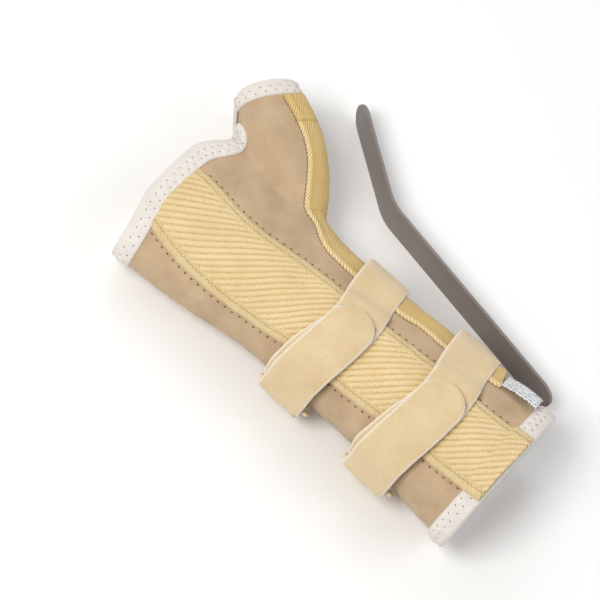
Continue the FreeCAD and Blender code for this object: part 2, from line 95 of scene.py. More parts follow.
def steps(table, column, at):
    """Smooth value of a table's column at a distance, through its stations."""
    n = len(table)
    k = 0
    while k < n - 2 and at > table[k + 1][0]:
        k += 1
    a, b = table[k], table[k + 1]
    before, after = table[max(k - 1, 0)], table[min(k + 2, n - 1)]
    span = b[0] - a[0]
    f = min(max((at - a[0]) / span, -0.5), 1.5)
    slope_a = (b[column] - before[column]) / (b[0] - before[0]) * span
    slope_b = (after[column] - a[column]) / (after[0] - a[0]) * span
    if f < 0:
        return a[column] + slope_a * f
    if f > 1:
        return b[column] + slope_b * (f - 1)
    f2, f3 = f * f, f * f * f
    return ((2 * f3 - 3 * f2 + 1) * a[column] + (f3 - 2 * f2 + f) * slope_a
            + (3 * f2 - 2 * f3) * b[column] + (f3 - f2) * slope_b)


def ease(value, low, high):
    """0 below low, 1 above high, smooth between."""
    f = min(max((value - low) / (high - low), 0), 1)
    return f * f * (3 - 2 * f)


def run_along(points):
    """How far each point is along the line that they make."""
    return np.concatenate([[0], np.cumsum(np.linalg.norm(np.diff(points, axis=0), axis=1))])


def directions_at(directions, known, where):
    """Directions given at the known places, read off at others."""
    return [Vector([np.interp(w, known, [d[c] for d in directions]) for c in range(3)]) for w in where]


def face_outward(thing):
    work = bmesh.new()
    work.from_mesh(thing.data)
    bmesh.ops.recalc_face_normals(work, faces=work.faces)
    work.to_mesh(thing.data)
    work.free()


def with_corners(faces):
    """Faces with their edges and vertices, as a mesh cut takes them."""
    return list({v for f in faces for v in f.verts} | {e for f in faces for e in f.edges} | set(faces))


def middle(at):
    """Centre of the sleeve at a distance in metres from the hand edge."""
    mm = at / MM
    return Vector((HAND_X + at, LINE_Y + steps(STATIONS, 3, mm) * MM,
                   steps(STATIONS, 2, mm) * MM + BINDING_PLY))


def grid_piece(name, across, along, place):
    """A grid of quads whose vertices go where place(u, v) says, u and v from 0 to 1."""
    deselect()
    bpy.ops.mesh.primitive_grid_add(x_subdivisions=across, y_subdivisions=along, size=1,
                                    calc_uvs=True)
    made = bpy.context.object
    made.name = name
    made.data.name = name
    for vertex in made.data.vertices:
        u = vertex.co.x + 0.5
        v = vertex.co.y + 0.5
        vertex.co = place(u, v)
    return made


def modify(thing, kind, **settings):
    """Adds a modifier with these settings and applies it."""
    pick(thing)
    added = thing.modifiers.new(kind.title(), kind)
    for key, value in settings.items():
        setattr(added, key, value)
    bpy.ops.object.modifier_apply(modifier=added.name)


def smooth(thing, angle=None):
    pick(thing)
    if angle is None:
        bpy.ops.object.shade_smooth()
    else:
        bpy.ops.object.shade_smooth_by_angle(angle=math.radians(angle))


# ---- the shape that all the cloth follows ----

def tube_point(u, v):
    """Sleeve surface, u round it and v along it, a little past both edges."""
    at = -8 * MM + v * (LENGTH + 16 * MM)
    mm = at / MM
    turn = 2 * math.pi * u
    return middle(at) + Vector((0, steps(STATIONS, 1, mm) * MM * math.cos(turn),
                                steps(STATIONS, 2, mm) * MM * math.sin(turn)))


THUMB_SIDE = Vector((-THUMB_AXIS.y, THUMB_AXIS.x, 0)).normalized()
THUMB_UP = THUMB_AXIS.cross(THUMB_SIDE).normalized()
if THUMB_UP.z < 0:
    THUMB_UP = -THUMB_UP


def thumb_point(u, v):
    at = -8 + v * 88
    radius = steps(THUMB_STATIONS, 1, at) * MM
    turn = 2 * math.pi * u
    return (THUMB_MOUTH + THUMB_AXIS * at * MM
            + (THUMB_SIDE * math.cos(turn) + THUMB_UP * math.sin(turn)) * radius)


def cap_tube(thing, count):
    """Closes both open ends of a tube made on a grid."""
    close = bmesh.new()
    close.from_mesh(thing.data)
    bmesh.ops.remove_doubles(close, verts=close.verts, dist=0.01 * MM)
    bmesh.ops.holes_fill(close, edges=close.edges, sides=count + 2)
    bmesh.ops.recalc_face_normals(close, faces=close.faces)
    close.to_mesh(thing.data)
    close.free()


def make_form():
    tube = grid_piece("form", 96, 100, tube_point)
    cap_tube(tube, 96)
    thumb = grid_piece("form_thumb", 48, 44, thumb_point)
    cap_tube(thumb, 48)
    pick(tube)
    thumb.select_set(True)
    bpy.ops.object.join()
    tube.data.remesh_voxel_size = 1.6 * MM
    bpy.ops.object.voxel_remesh()
    modify(tube, "SMOOTH", factor=0.5, iterations=10)
    return tube


# ---- camera, floor and lights ----

def studio():
    azimuth, elevation, roll = math.radians(12), math.radians(61), math.radians(31)
    back = Vector((math.sin(azimuth) * math.cos(elevation),
                   -math.cos(azimuth) * math.cos(elevation), math.sin(elevation)))
    level = Vector((math.cos(azimuth), math.sin(azimuth), 0))
    rise = back.cross(level)
    right = level * math.cos(roll) + rise * math.sin(roll)
    up = rise * math.cos(roll) - level * math.sin(roll)
    target = middle(88 * MM) + Vector((0, 1.1 * MM, 0))
    distance = 1.5
    seen = 292.7 * MM
    camera_data = bpy.data.cameras.new("camera")
    camera_data.sensor_width = 36
    camera_data.lens = 36 * distance / seen
    camera_data.clip_start = 0.05
    camera = bpy.data.objects.new("camera", camera_data)
    bpy.context.collection.objects.link(camera)
    place = target + back * distance
    camera.matrix_world = Matrix((
        (right.x, up.x, back.x, place.x),
        (right.y, up.y, back.y, place.y),
        (right.z, up.z, back.z, place.z),
        (0, 0, 0, 1)))
    bpy.context.scene.camera = camera

    deselect()
    bpy.ops.mesh.primitive_plane_add(size=6, location=(0, 0, 0))
    floor = bpy.context.object
    floor.name = "floor"
    pale = bpy.data.materials.new("pale_floor")
    pale.use_nodes = True
    shader = pale.node_tree.nodes["Principled BSDF"]
    shader.inputs["Base Color"].default_value = (0.93, 0.93, 0.925, 1)
    shader.inputs["Roughness"].default_value = 0.9
    floor.data.materials.append(pale)

    world = bpy.context.scene.world or bpy.data.worlds.new("studio")
    bpy.context.scene.world = world
    world.use_nodes = True
    sky = world.node_tree.nodes["Background"]
    sky.inputs["Color"].default_value = (1, 1, 1, 1)
    sky.inputs["Strength"].default_value = 0.44
    for name, place, size, power, tint in (
            ("key_light", (-0.35, -0.75, 1.15), 0.55, 12.5, (1.0, 0.985, 0.96)),
            ("fill_light", (0.9, 0.5, 0.9), 0.9, 3.6, (0.97, 0.985, 1.0)),
            ("back_light", (-0.7, 0.8, 0.9), 0.8, 3.2, (1, 1, 1))):
        lamp = bpy.data.lights.new(name, "AREA")
        lamp.size = size
        lamp.energy = power
        lamp.color = tint
        thing = bpy.data.objects.new(name, lamp)
        bpy.context.collection.objects.link(thing)
        thing.location = place
        thing.rotation_euler = (Vector((0, 0, 0.02)) - Vector(place)).to_track_quat("-Z", "Y").to_euler()
    bpy.context.scene.view_settings.view_transform = "Standard"


# ---- reading the shape ----

class Surface:
    """A finished shape that other pieces are laid on."""

    def __init__(self, thing):
        mesh = thing.data
        self.normals = [v.normal.copy() for v in mesh.vertices]
        self.points = [v.co.copy() for v in mesh.vertices]
        self.faces = [tuple(p.vertices) for p in mesh.polygons]
        self.tree = BVHTree.FromPolygons(self.points, self.faces)

    def normal(self, place, face):
        total = Vector()
        for index in self.faces[face]:
            total += self.normals[index] / ((self.points[index] - place).length + 0.1 * MM)
        return total.normalized()

    def cast(self, start, toward):
        """Outermost point met coming from outside towards start."""
        hit = self.tree.ray_cast(start + toward * 0.2, -toward)
        return hit[0], self.normal(hit[0], hit[2])

    def nearest(self, place):
        hit = self.tree.find_nearest(place)
        return hit[0], self.normal(hit[0], hit[2])

    def round_sleeve(self, at, turn):
        """Point and normal at a distance from the hand edge and a turn in degrees."""
        angle = math.radians(turn)
        return self.cast(middle(at), Vector((0, math.cos(angle), math.sin(angle))))

    def round_thumb(self, along, turn):
        angle = math.radians(turn)
        toward = THUMB_SIDE * math.cos(angle) + THUMB_UP * math.sin(angle)
        return self.cast(THUMB_MOUTH + THUMB_AXIS * along, toward)


def curve_through(points, count, closed=False):
    """Evenly spaced points on a smooth curve through the given ones, of any dimension."""
    known = np.array([tuple(p) for p in points], float)
    n = len(known)
    fine = []
    spans = n if closed else n - 1
    for k in range(spans):
        if closed:
            a, b, c, d = known[k - 1], known[k], known[(k + 1) % n], known[(k + 2) % n]
        else:
            b, c = known[k], known[k + 1]
            a = known[k - 1] if k else 2 * b - c
            d = known[k + 2] if k + 2 < n else 2 * c - b
        for f in np.linspace(0, 1, 16, endpoint=False):
            fine.append(0.5 * (2 * b + (c - a) * f + (2 * a - 5 * b + 4 * c - d) * f * f
                               + (3 * b - a - 3 * c + d) * f ** 3))
    fine.append(known[0] if closed else known[-1])
    fine = np.array(fine)
    run = run_along(fine)
    want = np.linspace(0, run[-1], count, endpoint=not closed)
    return np.stack([np.interp(want, run, fine[:, c]) for c in range(fine.shape[1])], axis=1)


def soften(rows, passes, closed):
    """Averages each row of an array with its neighbours."""
    rows = np.array(rows, float)
    for _ in range(passes):
        if closed:
            rows = 0.5 * rows + 0.25 * (np.roll(rows, 1, axis=0) + np.roll(rows, -1, axis=0))
        else:
            rows[1:-1] = 0.5 * rows[1:-1] + 0.25 * (rows[:-2] + rows[2:])
    return rows


def lay(surface, edge, width, count, side=1, closed=False, passes=4):
    """Walks from an edge curve over the surface; gives points and normals, edge by width."""
    n = len(edge)
    points = np.zeros((n, count, 3))
    normals = np.zeros((n, count, 3))
    ahead = np.roll(edge, -1, axis=0) - np.roll(edge, 1, axis=0)
    if not closed:
        ahead[0] = edge[1] - edge[0]
        ahead[-1] = edge[-1] - edge[-2]
    ahead = soften(ahead, passes, closed)
    here = [Vector(p) for p in edge]
    step = width / (count - 1)
    for k in range(count):
        row_p, row_n = [], []
        for i in range(n):
            place, normal = surface.nearest(here[i])
            row_p.append(place)
            row_n.append(normal)
        points[:, k] = soften(row_p, passes if k else 1, closed)
        normals[:, k] = soften(row_n, passes, closed)
        for i in range(n):
            normal = Vector(normals[i, k]).normalized()
            normals[i, k] = normal
            across = Vector(ahead[i]).cross(normal).normalized() * side
            here[i] = Vector(points[i, k]) + across * step
    return points, normals


def mesh_piece(name, points, faces, uvs=None):
    """A piece from points and faces; uvs holds one pair for each point, in metres."""
    data = bpy.data.meshes.new(name)
    data.from_pydata([tuple(p) for p in points], [], faces)
    data.update()
    made = bpy.data.objects.new(name, data)
    bpy.context.collection.objects.link(made)
    if uvs is not None:
        layer = data.uv_layers.new(name="UVMap")
        for loop in data.loops:
            layer.data[loop.index].uv = uvs[loop.vertex_index]
    return made


def sweep(name, rings, closed_path, uvs=None, seam_uv=None):
    """Joins rings of points, each a closed outline, along a path; ends are capped."""
    n, m = len(rings), len(rings[0])
    points = [p for ring in rings for p in ring]
    faces = []
    face_uvs = []
    last = n if closed_path else n - 1
    for i in range(last):
        for k in range(m):
            a, b = i * m + k, i * m + (k + 1) % m
            j = (i + 1) % n
            c, d = j * m + (k + 1) % m, j * m + k
            faces.append((a, b, c, d))
            if uvs is not None:
                corner = []
                for index, (r, q) in zip((a, b, c, d), ((i, k), (i, k + 1), (i + 1, k + 1), (i + 1, k))):
                    pair = list(uvs[index])
                    if r == n:
                        pair[0] = seam_uv
                    if q == m:
                        pair[1] = uvs[i * m + m - 1][1] + (uvs[i * m + m - 1][1] - uvs[i * m + m - 2][1])
                    corner.append(pair)
                face_uvs.append(corner)
    if not closed_path:
        faces.append(tuple(range(m))[::-1])
        faces.append(tuple((n - 1) * m + k for k in range(m)))
        if uvs is not None:
            face_uvs.append([uvs[k] for k in range(m)][::-1])
            face_uvs.append([uvs[(n - 1) * m + k] for k in range(m)])
    made = mesh_piece(name, points, faces)
    if uvs is not None:
        layer = made.data.uv_layers.new(name="UVMap")
        for poly, corner in zip(made.data.polygons, face_uvs):
            for loop, pair in zip(poly.loop_indices, corner):
                layer.data[loop].uv = pair
    face_outward(made)
    return made


def sheet_piece(name, points, normals, low, high, uvs):
    """A closed sheet between two heights over a laid grid of points."""
    n, m = points.shape[:2]
    if np.isscalar(high):
        high = np.full((n, m), high)
    if np.isscalar(low):
        low = np.full((n, m), low)
    rings, ring_uvs = [], []
    for i in range(n):
        top = [points[i, k] + normals[i, k] * high[i, k] for k in range(m)]
        under = [points[i, k] + normals[i, k] * low[i, k] for k in range(m)]
        rings.append(top + under[::-1])
        ring_uvs += [tuple(uvs[i, k]) for k in range(m)] + [tuple(uvs[i, k]) for k in range(m)][::-1]
    n, m2 = len(rings), 2 * m
    all_points = [p for ring in rings for p in ring]
    faces = []
    for i in range(n - 1):
        for k in range(m2):
            faces.append((i * m2 + k, i * m2 + (k + 1) % m2, (i + 1) * m2 + (k + 1) % m2,
                          (i + 1) * m2 + k))
    for i in (0, n - 1):
        for k in range(m - 1):
            cap = (i * m2 + k, i * m2 + k + 1, i * m2 + m2 - 2 - k, i * m2 + m2 - 1 - k)
            faces.append(cap if i else cap[::-1])
    made = mesh_piece(name, all_points, faces, ring_uvs)
    face_outward(made)
    return made


def finish_piece(thing, body, material, replaced=(), angle=None):
    for vertex in thing.data.vertices:
        vertex.co.z = max(vertex.co.z, TABLE_GAP)
    thing.data.materials.clear()
    thing.data.materials.append(material)
    smooth(thing, angle)
    if body:
        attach(thing, body)
    if replaced:
        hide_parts(*replaced)


# ---- edges of the panel and of the pocket, as distance and turn ----

PANEL_LOW = [(8, 152), (30, 156.7), (44, 159.1), (70, 160.9), (90, 159), (100, 156.4), (134, 154.2),
             (157, 151.2), (191, 146.1), (217, 140)]
PANEL_HIGH = [(8, 66), (19, 69.2), (40, 80), (54, 81.4), (67, 77.4), (79, 73), (104, 70.2),
              (132, 72.5), (158, 71), (187, 71.5), (217, 65)]
POCKET_THUMB = [(8.6, 84), (22, 75.5), (32, 70.5), (45, 70)]
POCKET_SLEEVE = [(59, 24), (68, 26.5), (81, 42), (101, 46.6), (130, 49.5), (141, 45.5), (155, 46),
                 (182, 45.4), (190, 42)]
POCKET_WIDTH = 23 * MM


def edge_turn(table, at):
    return steps(table, 1, at / MM)


def crease(place):
    """How far the worn leatherette stands in or out at a place."""
    at = place.x - HAND_X
    centre = middle(at)
    turn = math.degrees(math.atan2(place.z - centre.z, place.y - centre.y)) % 360
    near_thumb = ease(place.y - LINE_Y, 25 * MM, 45 * MM)
    broad = noise.noise(Vector((place.x * 26, turn * 0.028, 0.3))) * 0.8 * MM
    across = noise.noise(Vector((place.x * 95, turn * 0.016, 4.1)))
    folds = -abs(across) * 1.1 * MM * (0.35 + 0.65 * ease(at, 0.03, 0.09))
    total = broad + folds * (1 - 0.6 * near_thumb)
    for table, sign in ((PANEL_LOW, 1), (PANEL_HIGH, -1)):
        away = (turn - edge_turn(table, at)) * sign
        reach = math.radians(away) * 40 * MM
        if -1 * MM < reach < 14 * MM and at > 0:
            pull = math.exp(-reach / (4.5 * MM))
            total += (math.sin(at / (1.35 * MM)) * 0.18 - 0.45) * MM * pull
    web = (place - middle(0.0125) - Vector((0, 43 * MM, 3 * MM))).length
    total -= 1.3 * MM * math.exp(-(web / (9 * MM)) ** 2) * (1 + math.sin(place.z * 1800))
    return total


def wear_form(thing):
    """Presses the folds and puckers of worn cloth into the shape."""
    thing.data.update()
    moves = [crease(v.co) for v in thing.data.vertices]
    for vertex, move in zip(thing.data.vertices, moves):
        vertex.co = vertex.co + vertex.normal * move
    modify(thing, "SMOOTH", factor=0.4, iterations=2)


# ---- cutting the edges ----

def setback(place):
    """How far behind the hand edge the sleeve is cut at a place."""
    return (7 * MM * ease(-(place.y - LINE_Y), 12 * MM, 46 * MM)
            + 10.5 * MM * ease(place.y - LINE_Y, 16 * MM, 40 * MM))


def by_thumb(place):
    along = (place - THUMB_MOUTH).dot(THUMB_AXIS)
    away = (place - THUMB_MOUTH - THUMB_AXIS * along).length
    return along < 25 * MM and away < steps(THUMB_STATIONS, 1, max(along / MM, -8)) * MM + 1.2 * MM


def cut_edges(thing):
    """Opens the closed shape at the hand, the forearm and the thumb."""
    work = bmesh.new()
    work.from_mesh(thing.data)
    for vertex in work.verts:
        vertex.co.x -= setback(vertex.co)
    sleeve_faces = [f for f in work.faces if not any(
        by_thumb(v.co + Vector((setback(v.co), 0, 0))) for v in f.verts)]
    bmesh.ops.bisect_plane(work, geom=with_corners(sleeve_faces), plane_co=(HAND_X, 0, 0),
                           plane_no=(-1, 0, 0), clear_outer=True, dist=1e-6)
    for vertex in work.verts:
        vertex.co.x += setback(vertex.co)
    everything = list(work.verts) + list(work.edges) + list(work.faces)
    bmesh.ops.bisect_plane(work, geom=everything, plane_co=(FOREARM_X, 0, 0), plane_no=(1, 0, 0),
                           clear_outer=True, dist=1e-6)
    tip_faces = [f for f in work.faces if all(
        (v.co - THUMB_MOUTH).dot(THUMB_AXIS) < 8 * MM and v.co.y - LINE_Y > 52 * MM for v in f.verts)]
    bmesh.ops.bisect_plane(work, geom=with_corners(tip_faces), plane_co=THUMB_MOUTH, plane_no=-THUMB_AXIS,
                           clear_outer=True, dist=1e-6)
    loose = [v for v in work.verts if not v.link_faces]
    bmesh.ops.delete(work, geom=loose, context="VERTS")
    work.to_mesh(thing.data)
    work.free()


def open_loops(thing):
    """Each open edge of a mesh as an ordered list of points."""
    work = bmesh.new()
    work.from_mesh(thing.data)
    waiting = {e for e in work.edges if e.is_boundary}
    loops = []
    while waiting:
        edge = waiting.pop()
        start, here = edge.verts
        chain = [start.co.copy(), here.co.copy()]
        while here != start:
            following = [e for e in here.link_edges if e in waiting]
            if not following:
                break
            waiting.discard(following[0])
            here = following[0].other_vert(here)
            chain.append(here.co.copy())
        if chain[0] == chain[-1]:
            chain.pop()
        loops.append(chain)
    work.free()
    return sorted(loops, key=len, reverse=True)[:3]


def copy_of(thing, name):
    made = thing.copy()
    made.data = thing.data.copy()
    made.name = name
    made.data.name = name
    bpy.context.collection.objects.link(made)
    return made


def halve(thing, point, normal):
    """Keeps the part of a mesh on the side that normal points to."""
    pick(thing)
    bpy.ops.object.mode_set(mode="EDIT")
    bpy.ops.mesh.select_all(action="SELECT")
    bpy.ops.mesh.bisect(plane_co=point, plane_no=normal, clear_inner=True)
    bpy.ops.object.mode_set(mode="OBJECT")


def shrink(thing, depth):
    """Moves every vertex inwards by a depth."""
    moves = [v.normal * depth for v in thing.data.vertices]
    for vertex, move in zip(thing.data.vertices, moves):
        vertex.co = vertex.co - move


SEAM_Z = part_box("dorsal_shell")[1][2]
SEAM_Y = LINE_Y - 10 * MM


def make_sleeve():
    for name, node, sides in (
            ("back_leather", "dorsal_shell", [((0, 0, SEAM_Z), (0, 0, -1))]),
            ("little_finger_leather", "ulnar_shell",
             [((0, 0, SEAM_Z), (0, 0, 1)), ((0, SEAM_Y, 0), (0, -1, 0))]),
            ("thumb_leather", "thenar_shell",
             [((0, 0, SEAM_Z), (0, 0, 1)), ((0, SEAM_Y, 0), (0, 1, 0))])):
        piece = copy_of(form, name)
        for point, normal in sides:
            halve(piece, point, normal)
        modify(piece, "SOLIDIFY", thickness=SKIN, offset=-1, use_even_offset=False)
        finish_piece(piece, "sleeve", LEATHER, [node])
    for name, node, normal in (("palm_lining_cloth", "palm_lining", (0, 0, 1)),
                               ("back_lining_cloth", "back_lining", (0, 0, -1))):
        piece = copy_of(form, name)
        shrink(piece, SKIN + 0.1 * MM)
        halve(piece, (0, 0, SEAM_Z), normal)
        modify(piece, "SOLIDIFY", thickness=LINING, offset=-1, use_even_offset=False)
        finish_piece(piece, "sleeve", LINING_CLOTH, [node])


# ---- materials ----

def tone(red, green, blue):
    """A colour named as it looks on a screen, 0 to 1, turned to linear."""
    return tuple(((c + 0.055) / 1.055) ** 2.4 for c in (red, green, blue)) + (1,)


def feed(tree, socket, value):
    """Links a socket to another, or sets it."""
    if isinstance(value, bpy.types.NodeSocket):
        tree.links.new(value, socket)
    else:
        socket.default_value = value


def reckon(tree, operation, first, second=0.0):
    made = tree.nodes.new("ShaderNodeMath")
    made.operation = operation
    feed(tree, made.inputs[0], first)
    feed(tree, made.inputs[1], second)
    return made.outputs[0]


def blend_colour(tree, factor, first, second):
    made = tree.nodes.new("ShaderNodeMix")
    made.data_type = "RGBA"
    feed(tree, made.inputs["Factor"], factor)
    feed(tree, made.inputs[6], first)
    feed(tree, made.inputs[7], second)
    return made.outputs[2]


def noise_of(tree, place, scale, detail, roughness=0.6):
    made = tree.nodes.new("ShaderNodeTexNoise")
    feed(tree, made.inputs["Vector"], place)
    feed(tree, made.inputs["Scale"], scale)
    made.inputs["Detail"].default_value = detail
    made.inputs["Roughness"].default_value = roughness
    return made.outputs["Fac"]


def new_group(name, inputs, outputs):
    group = bpy.data.node_groups.new(name, "ShaderNodeTree")
    for label, kind in inputs:
        group.interface.new_socket(label, in_out="INPUT", socket_type=kind)
    for label in outputs:
        group.interface.new_socket(label, in_out="OUTPUT", socket_type="NodeSocketFloat")
    return group, group.nodes.new("NodeGroupInput"), group.nodes.new("NodeGroupOutput")


def make_nap():
    """Short fibres with soft patches between them."""
    group, given, result = new_group(
        "nap", [("Place", "NodeSocketVector"), ("Scale", "NodeSocketFloat")], ["Height", "Tone"])
    place, scale = given.outputs["Place"], given.outputs["Scale"]
    fine = noise_of(group, place, scale, 5, 0.7)
    patch = noise_of(group, place, reckon(group, "MULTIPLY", scale, 0.035), 4, 0.55)
    pits = group.nodes.new("ShaderNodeTexVoronoi")
    feed(group, pits.inputs["Vector"], place)
    feed(group, pits.inputs["Scale"], reckon(group, "MULTIPLY", scale, 0.8))
    height = reckon(group, "ADD", fine, reckon(group, "MULTIPLY", pits.outputs["Distance"], 0.45))
    feed(group, result.inputs["Height"], height)
    mixed = reckon(group, "ADD", reckon(group, "MULTIPLY", fine, 0.45),
                   reckon(group, "MULTIPLY", patch, 0.55))
    spread = reckon(group, "MULTIPLY", reckon(group, "SUBTRACT", mixed, 0.5), 2.6)
    feed(group, result.inputs["Tone"], reckon(group, "ADD", spread, 0.5))
    return group


def make_weave():
    """Crossed yarns on a flat map in metres."""
    group, given, result = new_group(
        "weave", [("Map", "NodeSocketVector"), ("Pitch", "NodeSocketFloat")], ["Height"])
    apart = group.nodes.new("ShaderNodeSeparateXYZ")
    feed(group, apart.inputs[0], given.outputs["Map"])
    turns = reckon(group, "DIVIDE", 2 * math.pi, given.outputs["Pitch"])
    warp = reckon(group, "SINE", reckon(group, "MULTIPLY", apart.outputs[0], turns))
    weft = reckon(group, "SINE", reckon(group, "MULTIPLY", apart.outputs[1], turns))
    product = reckon(group, "MULTIPLY", warp, weft)
    feed(group, result.inputs["Height"], reckon(group, "MULTIPLY_ADD", product, 0.5))
    return group


def make_twill():
    """Fine slanting cords on a flat map in metres, with a mask of painted shade in the grooves between
    them.
    """
    group, given, result = new_group(
        "twill", [("Map", "NodeSocketVector"), ("Pitch", "NodeSocketFloat")], ["Height", "Groove"])
    apart = group.nodes.new("ShaderNodeSeparateXYZ")
    feed(group, apart.inputs[0], given.outputs["Map"])
    wander = reckon(group, "MULTIPLY", noise_of(group, given.outputs["Map"], 320, 2), 1.1 * MM)
    slant = reckon(group, "ADD", reckon(group, "ADD", apart.outputs[0], wander),
                   reckon(group, "MULTIPLY", apart.outputs[1], 0.62))
    turns = reckon(group, "DIVIDE", math.pi, given.outputs["Pitch"])
    cords = reckon(group, "ABSOLUTE", reckon(group, "SINE", reckon(group, "MULTIPLY", slant, turns)))
    feed(group, result.inputs["Height"], cords)
    hollow = reckon(group, "SUBTRACT", 1.0, cords)
    feed(group, result.inputs["Groove"], reckon(group, "MULTIPLY", hollow, hollow))
    return group


NAP = make_nap()
WEAVE = make_weave()
TWILL = make_twill()


def cloth(name, light, dark, scale, depth, rough=0.9, sheen=0.0, yarn=0.0, marked=None,
          twill_and_groove_shade=None):
    """A cloth between two tones; marked names a painted value and the colour it brings.

    Yarn is the pitch of a plain weave; the last argument is the pitch of a twill and the colour of painted
    shade in the grooves between its cords."""
    material = bpy.data.materials.new(name)
    material.use_nodes = True
    tree = material.node_tree
    shader = tree.nodes["Principled BSDF"]
    shader.inputs["Roughness"].default_value = rough
    shader.inputs["Specular IOR Level"].default_value = 0.25
    shader.inputs["Sheen Weight"].default_value = sheen
    shader.inputs["Sheen Roughness"].default_value = 0.6
    where = tree.nodes.new("ShaderNodeTexCoord")
    nap = tree.nodes.new("ShaderNodeGroup")
    nap.node_tree = NAP
    feed(tree, nap.inputs["Place"], where.outputs["Object"])
    nap.inputs["Scale"].default_value = scale
    colour = blend_colour(tree, nap.outputs["Tone"], dark, light)
    # The marked colour is painted shade in the elastic's rib hollows and a painted highlight on the
    # webbing's rolled edge; on the straps it is the pale foam of their cut edges.
    if marked:
        painted = tree.nodes.new("ShaderNodeAttribute")
        painted.attribute_name = marked[0]
        colour = blend_colour(tree, painted.outputs["Fac"], colour, marked[1])
    height = nap.outputs["Height"]
    if yarn:
        weave = tree.nodes.new("ShaderNodeGroup")
        weave.node_tree = WEAVE
        feed(tree, weave.inputs["Map"], where.outputs["UV"])
        weave.inputs["Pitch"].default_value = yarn
        height = reckon(tree, "ADD", height, reckon(tree, "MULTIPLY", weave.outputs["Height"], 1.3))
    if twill_and_groove_shade:
        twill = tree.nodes.new("ShaderNodeGroup")
        twill.node_tree = TWILL
        feed(tree, twill.inputs["Map"], where.outputs["UV"])
        twill.inputs["Pitch"].default_value = twill_and_groove_shade[0]
        height = reckon(tree, "ADD", height, reckon(tree, "MULTIPLY", twill.outputs["Height"], 2.2))
        # Painted shade: the hollows between the twill's cords are coloured darker.
        colour = blend_colour(tree, twill.outputs["Groove"], colour, twill_and_groove_shade[1])
    feed(tree, shader.inputs["Base Color"], colour)
    bump = tree.nodes.new("ShaderNodeBump")
    bump.inputs["Distance"].default_value = depth
    bump.inputs["Strength"].default_value = 0.8
    feed(tree, bump.inputs["Height"], height)
    feed(tree, shader.inputs["Normal"], bump.outputs["Normal"])
    return material


def metal(name, colour, rough, scratch, shine):
    material = bpy.data.materials.new(name)
    material.use_nodes = True
    tree = material.node_tree
    shader = tree.nodes["Principled BSDF"]
    shader.inputs["Metallic"].default_value = shine
    where = tree.nodes.new("ShaderNodeTexCoord")
    nap = tree.nodes.new("ShaderNodeGroup")
    nap.node_tree = NAP
    feed(tree, nap.inputs["Place"], where.outputs["Object"])
    nap.inputs["Scale"].default_value = 900
    darker = tuple(c * 0.72 for c in colour[:3]) + (1,)
    feed(tree, shader.inputs["Base Color"], blend_colour(tree, nap.outputs["Tone"], darker, colour))
    spread = reckon(tree, "MULTIPLY", nap.outputs["Tone"], scratch)
    feed(tree, shader.inputs["Roughness"], reckon(tree, "ADD", spread, rough))
    return material


def make_label_cloth():
    """White tape with rows of small grey marks that say nothing."""
    material = cloth("label_tape", tone(0.93, 0.93, 0.93), tone(0.86, 0.86, 0.87), 3000, 0.05 * MM,
                     0.7, 0.0, 0.6 * MM)
    tree = material.node_tree
    shader = tree.nodes["Principled BSDF"]
    base = shader.inputs["Base Color"].links[0].from_socket
    where = tree.nodes.new("ShaderNodeTexCoord")
    apart = tree.nodes.new("ShaderNodeSeparateXYZ")
    feed(tree, apart.inputs[0], where.outputs["UV"])
    rows = reckon(tree, "GREATER_THAN", reckon(tree, "SINE", reckon(
        tree, "MULTIPLY", apart.outputs[1], 2 * math.pi / (2.4 * MM))), 0.35)
    breaks = reckon(tree, "GREATER_THAN", noise_of(tree, where.outputs["UV"], 900, 1), 0.5)
    marks = reckon(tree, "MULTIPLY", reckon(tree, "MULTIPLY", rows, breaks), 0.9)
    feed(tree, shader.inputs["Base Color"],
         blend_colour(tree, marks, base, tone(0.38, 0.41, 0.47)))
    return material


LEATHER = cloth("tan_suede", tone(0.80, 0.70, 0.575), tone(0.67, 0.565, 0.44), 1900, 0.3 * MM,
                0.93, 0.12)
LINING_CLOTH = cloth("lining_cloth", tone(0.83, 0.70, 0.62), tone(0.74, 0.60, 0.52), 2200, 0.1 * MM)
BINDING = cloth("white_binding", tone(0.93, 0.905, 0.88), tone(0.865, 0.835, 0.80), 2500, 0.18 * MM,
                0.9, 0.2, 1.1 * MM)
# Painted shade: the two darker colours fill the hollows between the ribs and between the twill cords.
ELASTIC = cloth("cream_elastic", tone(0.97, 0.895, 0.73), tone(0.91, 0.815, 0.62), 2200, 0.14 * MM,
                0.85, 0.1, 0.0, ("groove", tone(0.79, 0.64, 0.39)), (1.15 * MM, tone(0.83, 0.70, 0.46)))
# Painted shade: the darker twill colour fills the hollows between the hem tape's cords.
HEM_CLOTH = cloth("hem_tape", tone(0.93, 0.855, 0.68), tone(0.86, 0.765, 0.56), 2400, 0.14 * MM,
                  0.88, 0.1, 0.0, None, (0.8 * MM, tone(0.82, 0.70, 0.48)))
